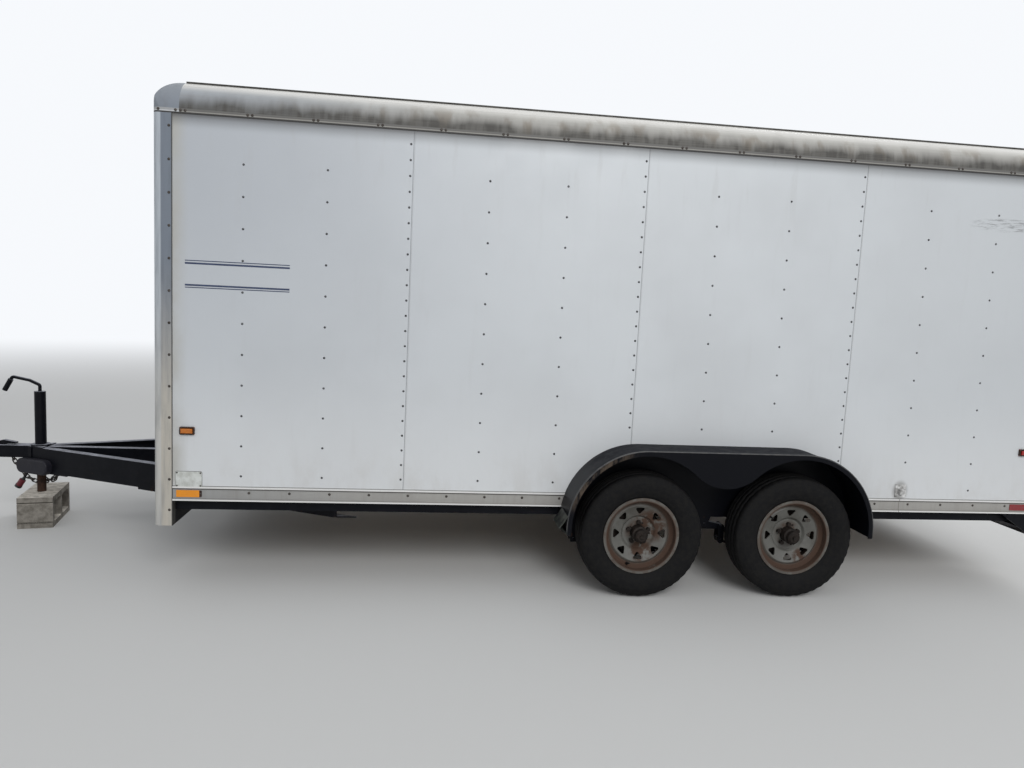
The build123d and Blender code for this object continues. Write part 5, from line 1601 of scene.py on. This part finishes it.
def place_on_wheel(centre, radius, angle, out):
    return centre + Vector((radius * math.cos(angle), out, radius * math.sin(angle)))


stem_outline = (
    (0.0085, 0.0),
    (0.0080, 0.004),
    (0.0052, 0.012),
    (0.0046, 0.026),
    (0.0040, 0.028),
    (0.0040, 0.036),
    (0.0030, 0.038),
)
stem_shape = turned_outline(stem_outline, 14)
stem_radius = 0.172
stem_out = 0.040
stem_lean = 0.35
stem_angles = {"front_left": 250, "front_right": 40, "rear_left": 140, "rear_right": 300}
tip_shape = dome(0.0060, 0.0050, 10, 3)
tip_circle = 0.1143 / 2
tip_out = 0.0242
stud_count = 5
for end_side, centre in wheel_places.items():
    side = -1 if end_side.endswith("left") else 1
    wheel = f"{end_side}_wheel"
    angle = math.radians(stem_angles[end_side])
    foot = place_on_wheel(centre, stem_radius, angle, side * stem_out)
    lean = Vector((-stem_lean * math.cos(angle), side, -stem_lean * math.sin(angle))).normalized()
    make_piece(f"valve_stem_{end_side}", *copies(stem_shape, [foot], lean), soft_black, wheel, "tyre_black")
    tips = [place_on_wheel(centre, tip_circle, angle, side * tip_out) for angle in circle(stud_count)]
    make_piece(f"stud_tips_{end_side}", *copies(tip_shape, tips, (0, side, 0)), hub_steel, wheel, "hub_rust")
print("four stems and", stud_count * len(wheel_places), "stud tips")

# %% [markdown]
# ## Rolled edge of the fenders
#
# Sheet fenders are rolled over along their outer edge so that the rim is stiff and blunt, and that roll
# catches a thin line of light. It is a bead that follows the fender's outline: up from its front foot,
# over the front axle, level along the top, over the rear axle and down again. At each place along the
# way stands a ring of points, turned to face outward there, and each ring is joined to the next.

# %% Roll the fender edges
bead_size = 0.0052
bead_steps = 20
bead_foot = fender_low.z + 0.004


def fender_edge():
    # X and Z of places along the edge, and the outward direction at each.
    found = [(front_axle_x - fender_rim, bead_foot, -1.0, 0.0)]
    for axle_x, start in ((front_axle_x, math.pi), (rear_axle_x, math.pi / 2)):
        for index in range(bead_steps + 1):
            angle = start - math.pi / 2 * index / bead_steps
            way_x, way_z = math.cos(angle), math.sin(angle)
            found.append((axle_x + fender_rim * way_x, fender_level + fender_rim * way_z, way_x, way_z))
    found.append((rear_axle_x + fender_rim, bead_foot, 1.0, 0.0))
    return found


def make_edge_bead(side, outer_y, sides=8):
    points = []
    places = fender_edge()
    for x, z, way_x, way_z in places:
        for angle in circle(sides):
            out = bead_size * (0.2 + math.cos(angle))
            across = side * (outer_y - bead_size + bead_size * math.sin(angle))
            points.append((x + out * way_x, across, z + out * way_z))
    return points, closed_tube_faces(len(places), sides)


fender_outer = -fender_low.y
edge_finish = make_grained("edge_finish", (0.022, 0.023, 0.026), (0.060, 0.058, 0.056), 0.45, 30)
for name, side in (("fender_edge_left", -1), ("fender_edge_right", 1)):
    make_piece(name, *make_edge_bead(side, fender_outer), edge_finish, "chassis", "black_steel")
print("fender edges at", round(fender_outer, 3))

# %% [markdown]
# ## Bolts on the rear doors
#
# Three bolts hold each hinge strap to its door. They ride on the doors, so each side's bolts are a piece
# of their own. Their places come from the boxes of the straps.

# %% Bolt the door hardware
bolt_shape = dome(0.0085, 0.0050, 12, 3)
bolt_out = 0.0055
bolt_steps = (0.025, 0.085, 0.145)
hinge_count = 3
strap_half = 0.014
for name, side in (("left", -1), ("right", 1)):
    strap_low, strap_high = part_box(f"hinge_straps_{name}")
    door_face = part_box(f"rear_door_{name}")[1].x
    lowest = strap_low.z + strap_half
    highest = strap_high.z - strap_half
    levels = even_steps(lowest, highest, (highest - lowest) / (hinge_count - 1))
    inner_end = min(abs(strap_low.y), abs(strap_high.y))
    places = [(door_face + bolt_out, side * (inner_end + step), z) for z in levels for step in bolt_steps]
    make_piece(f"strap_bolts_{name}", *copies(bolt_shape, places, (1, 0, 0)), screw_finish,
               f"rear_leaf_{name}", "bright_steel")
    print("bolts on the", name, "door", len(places))
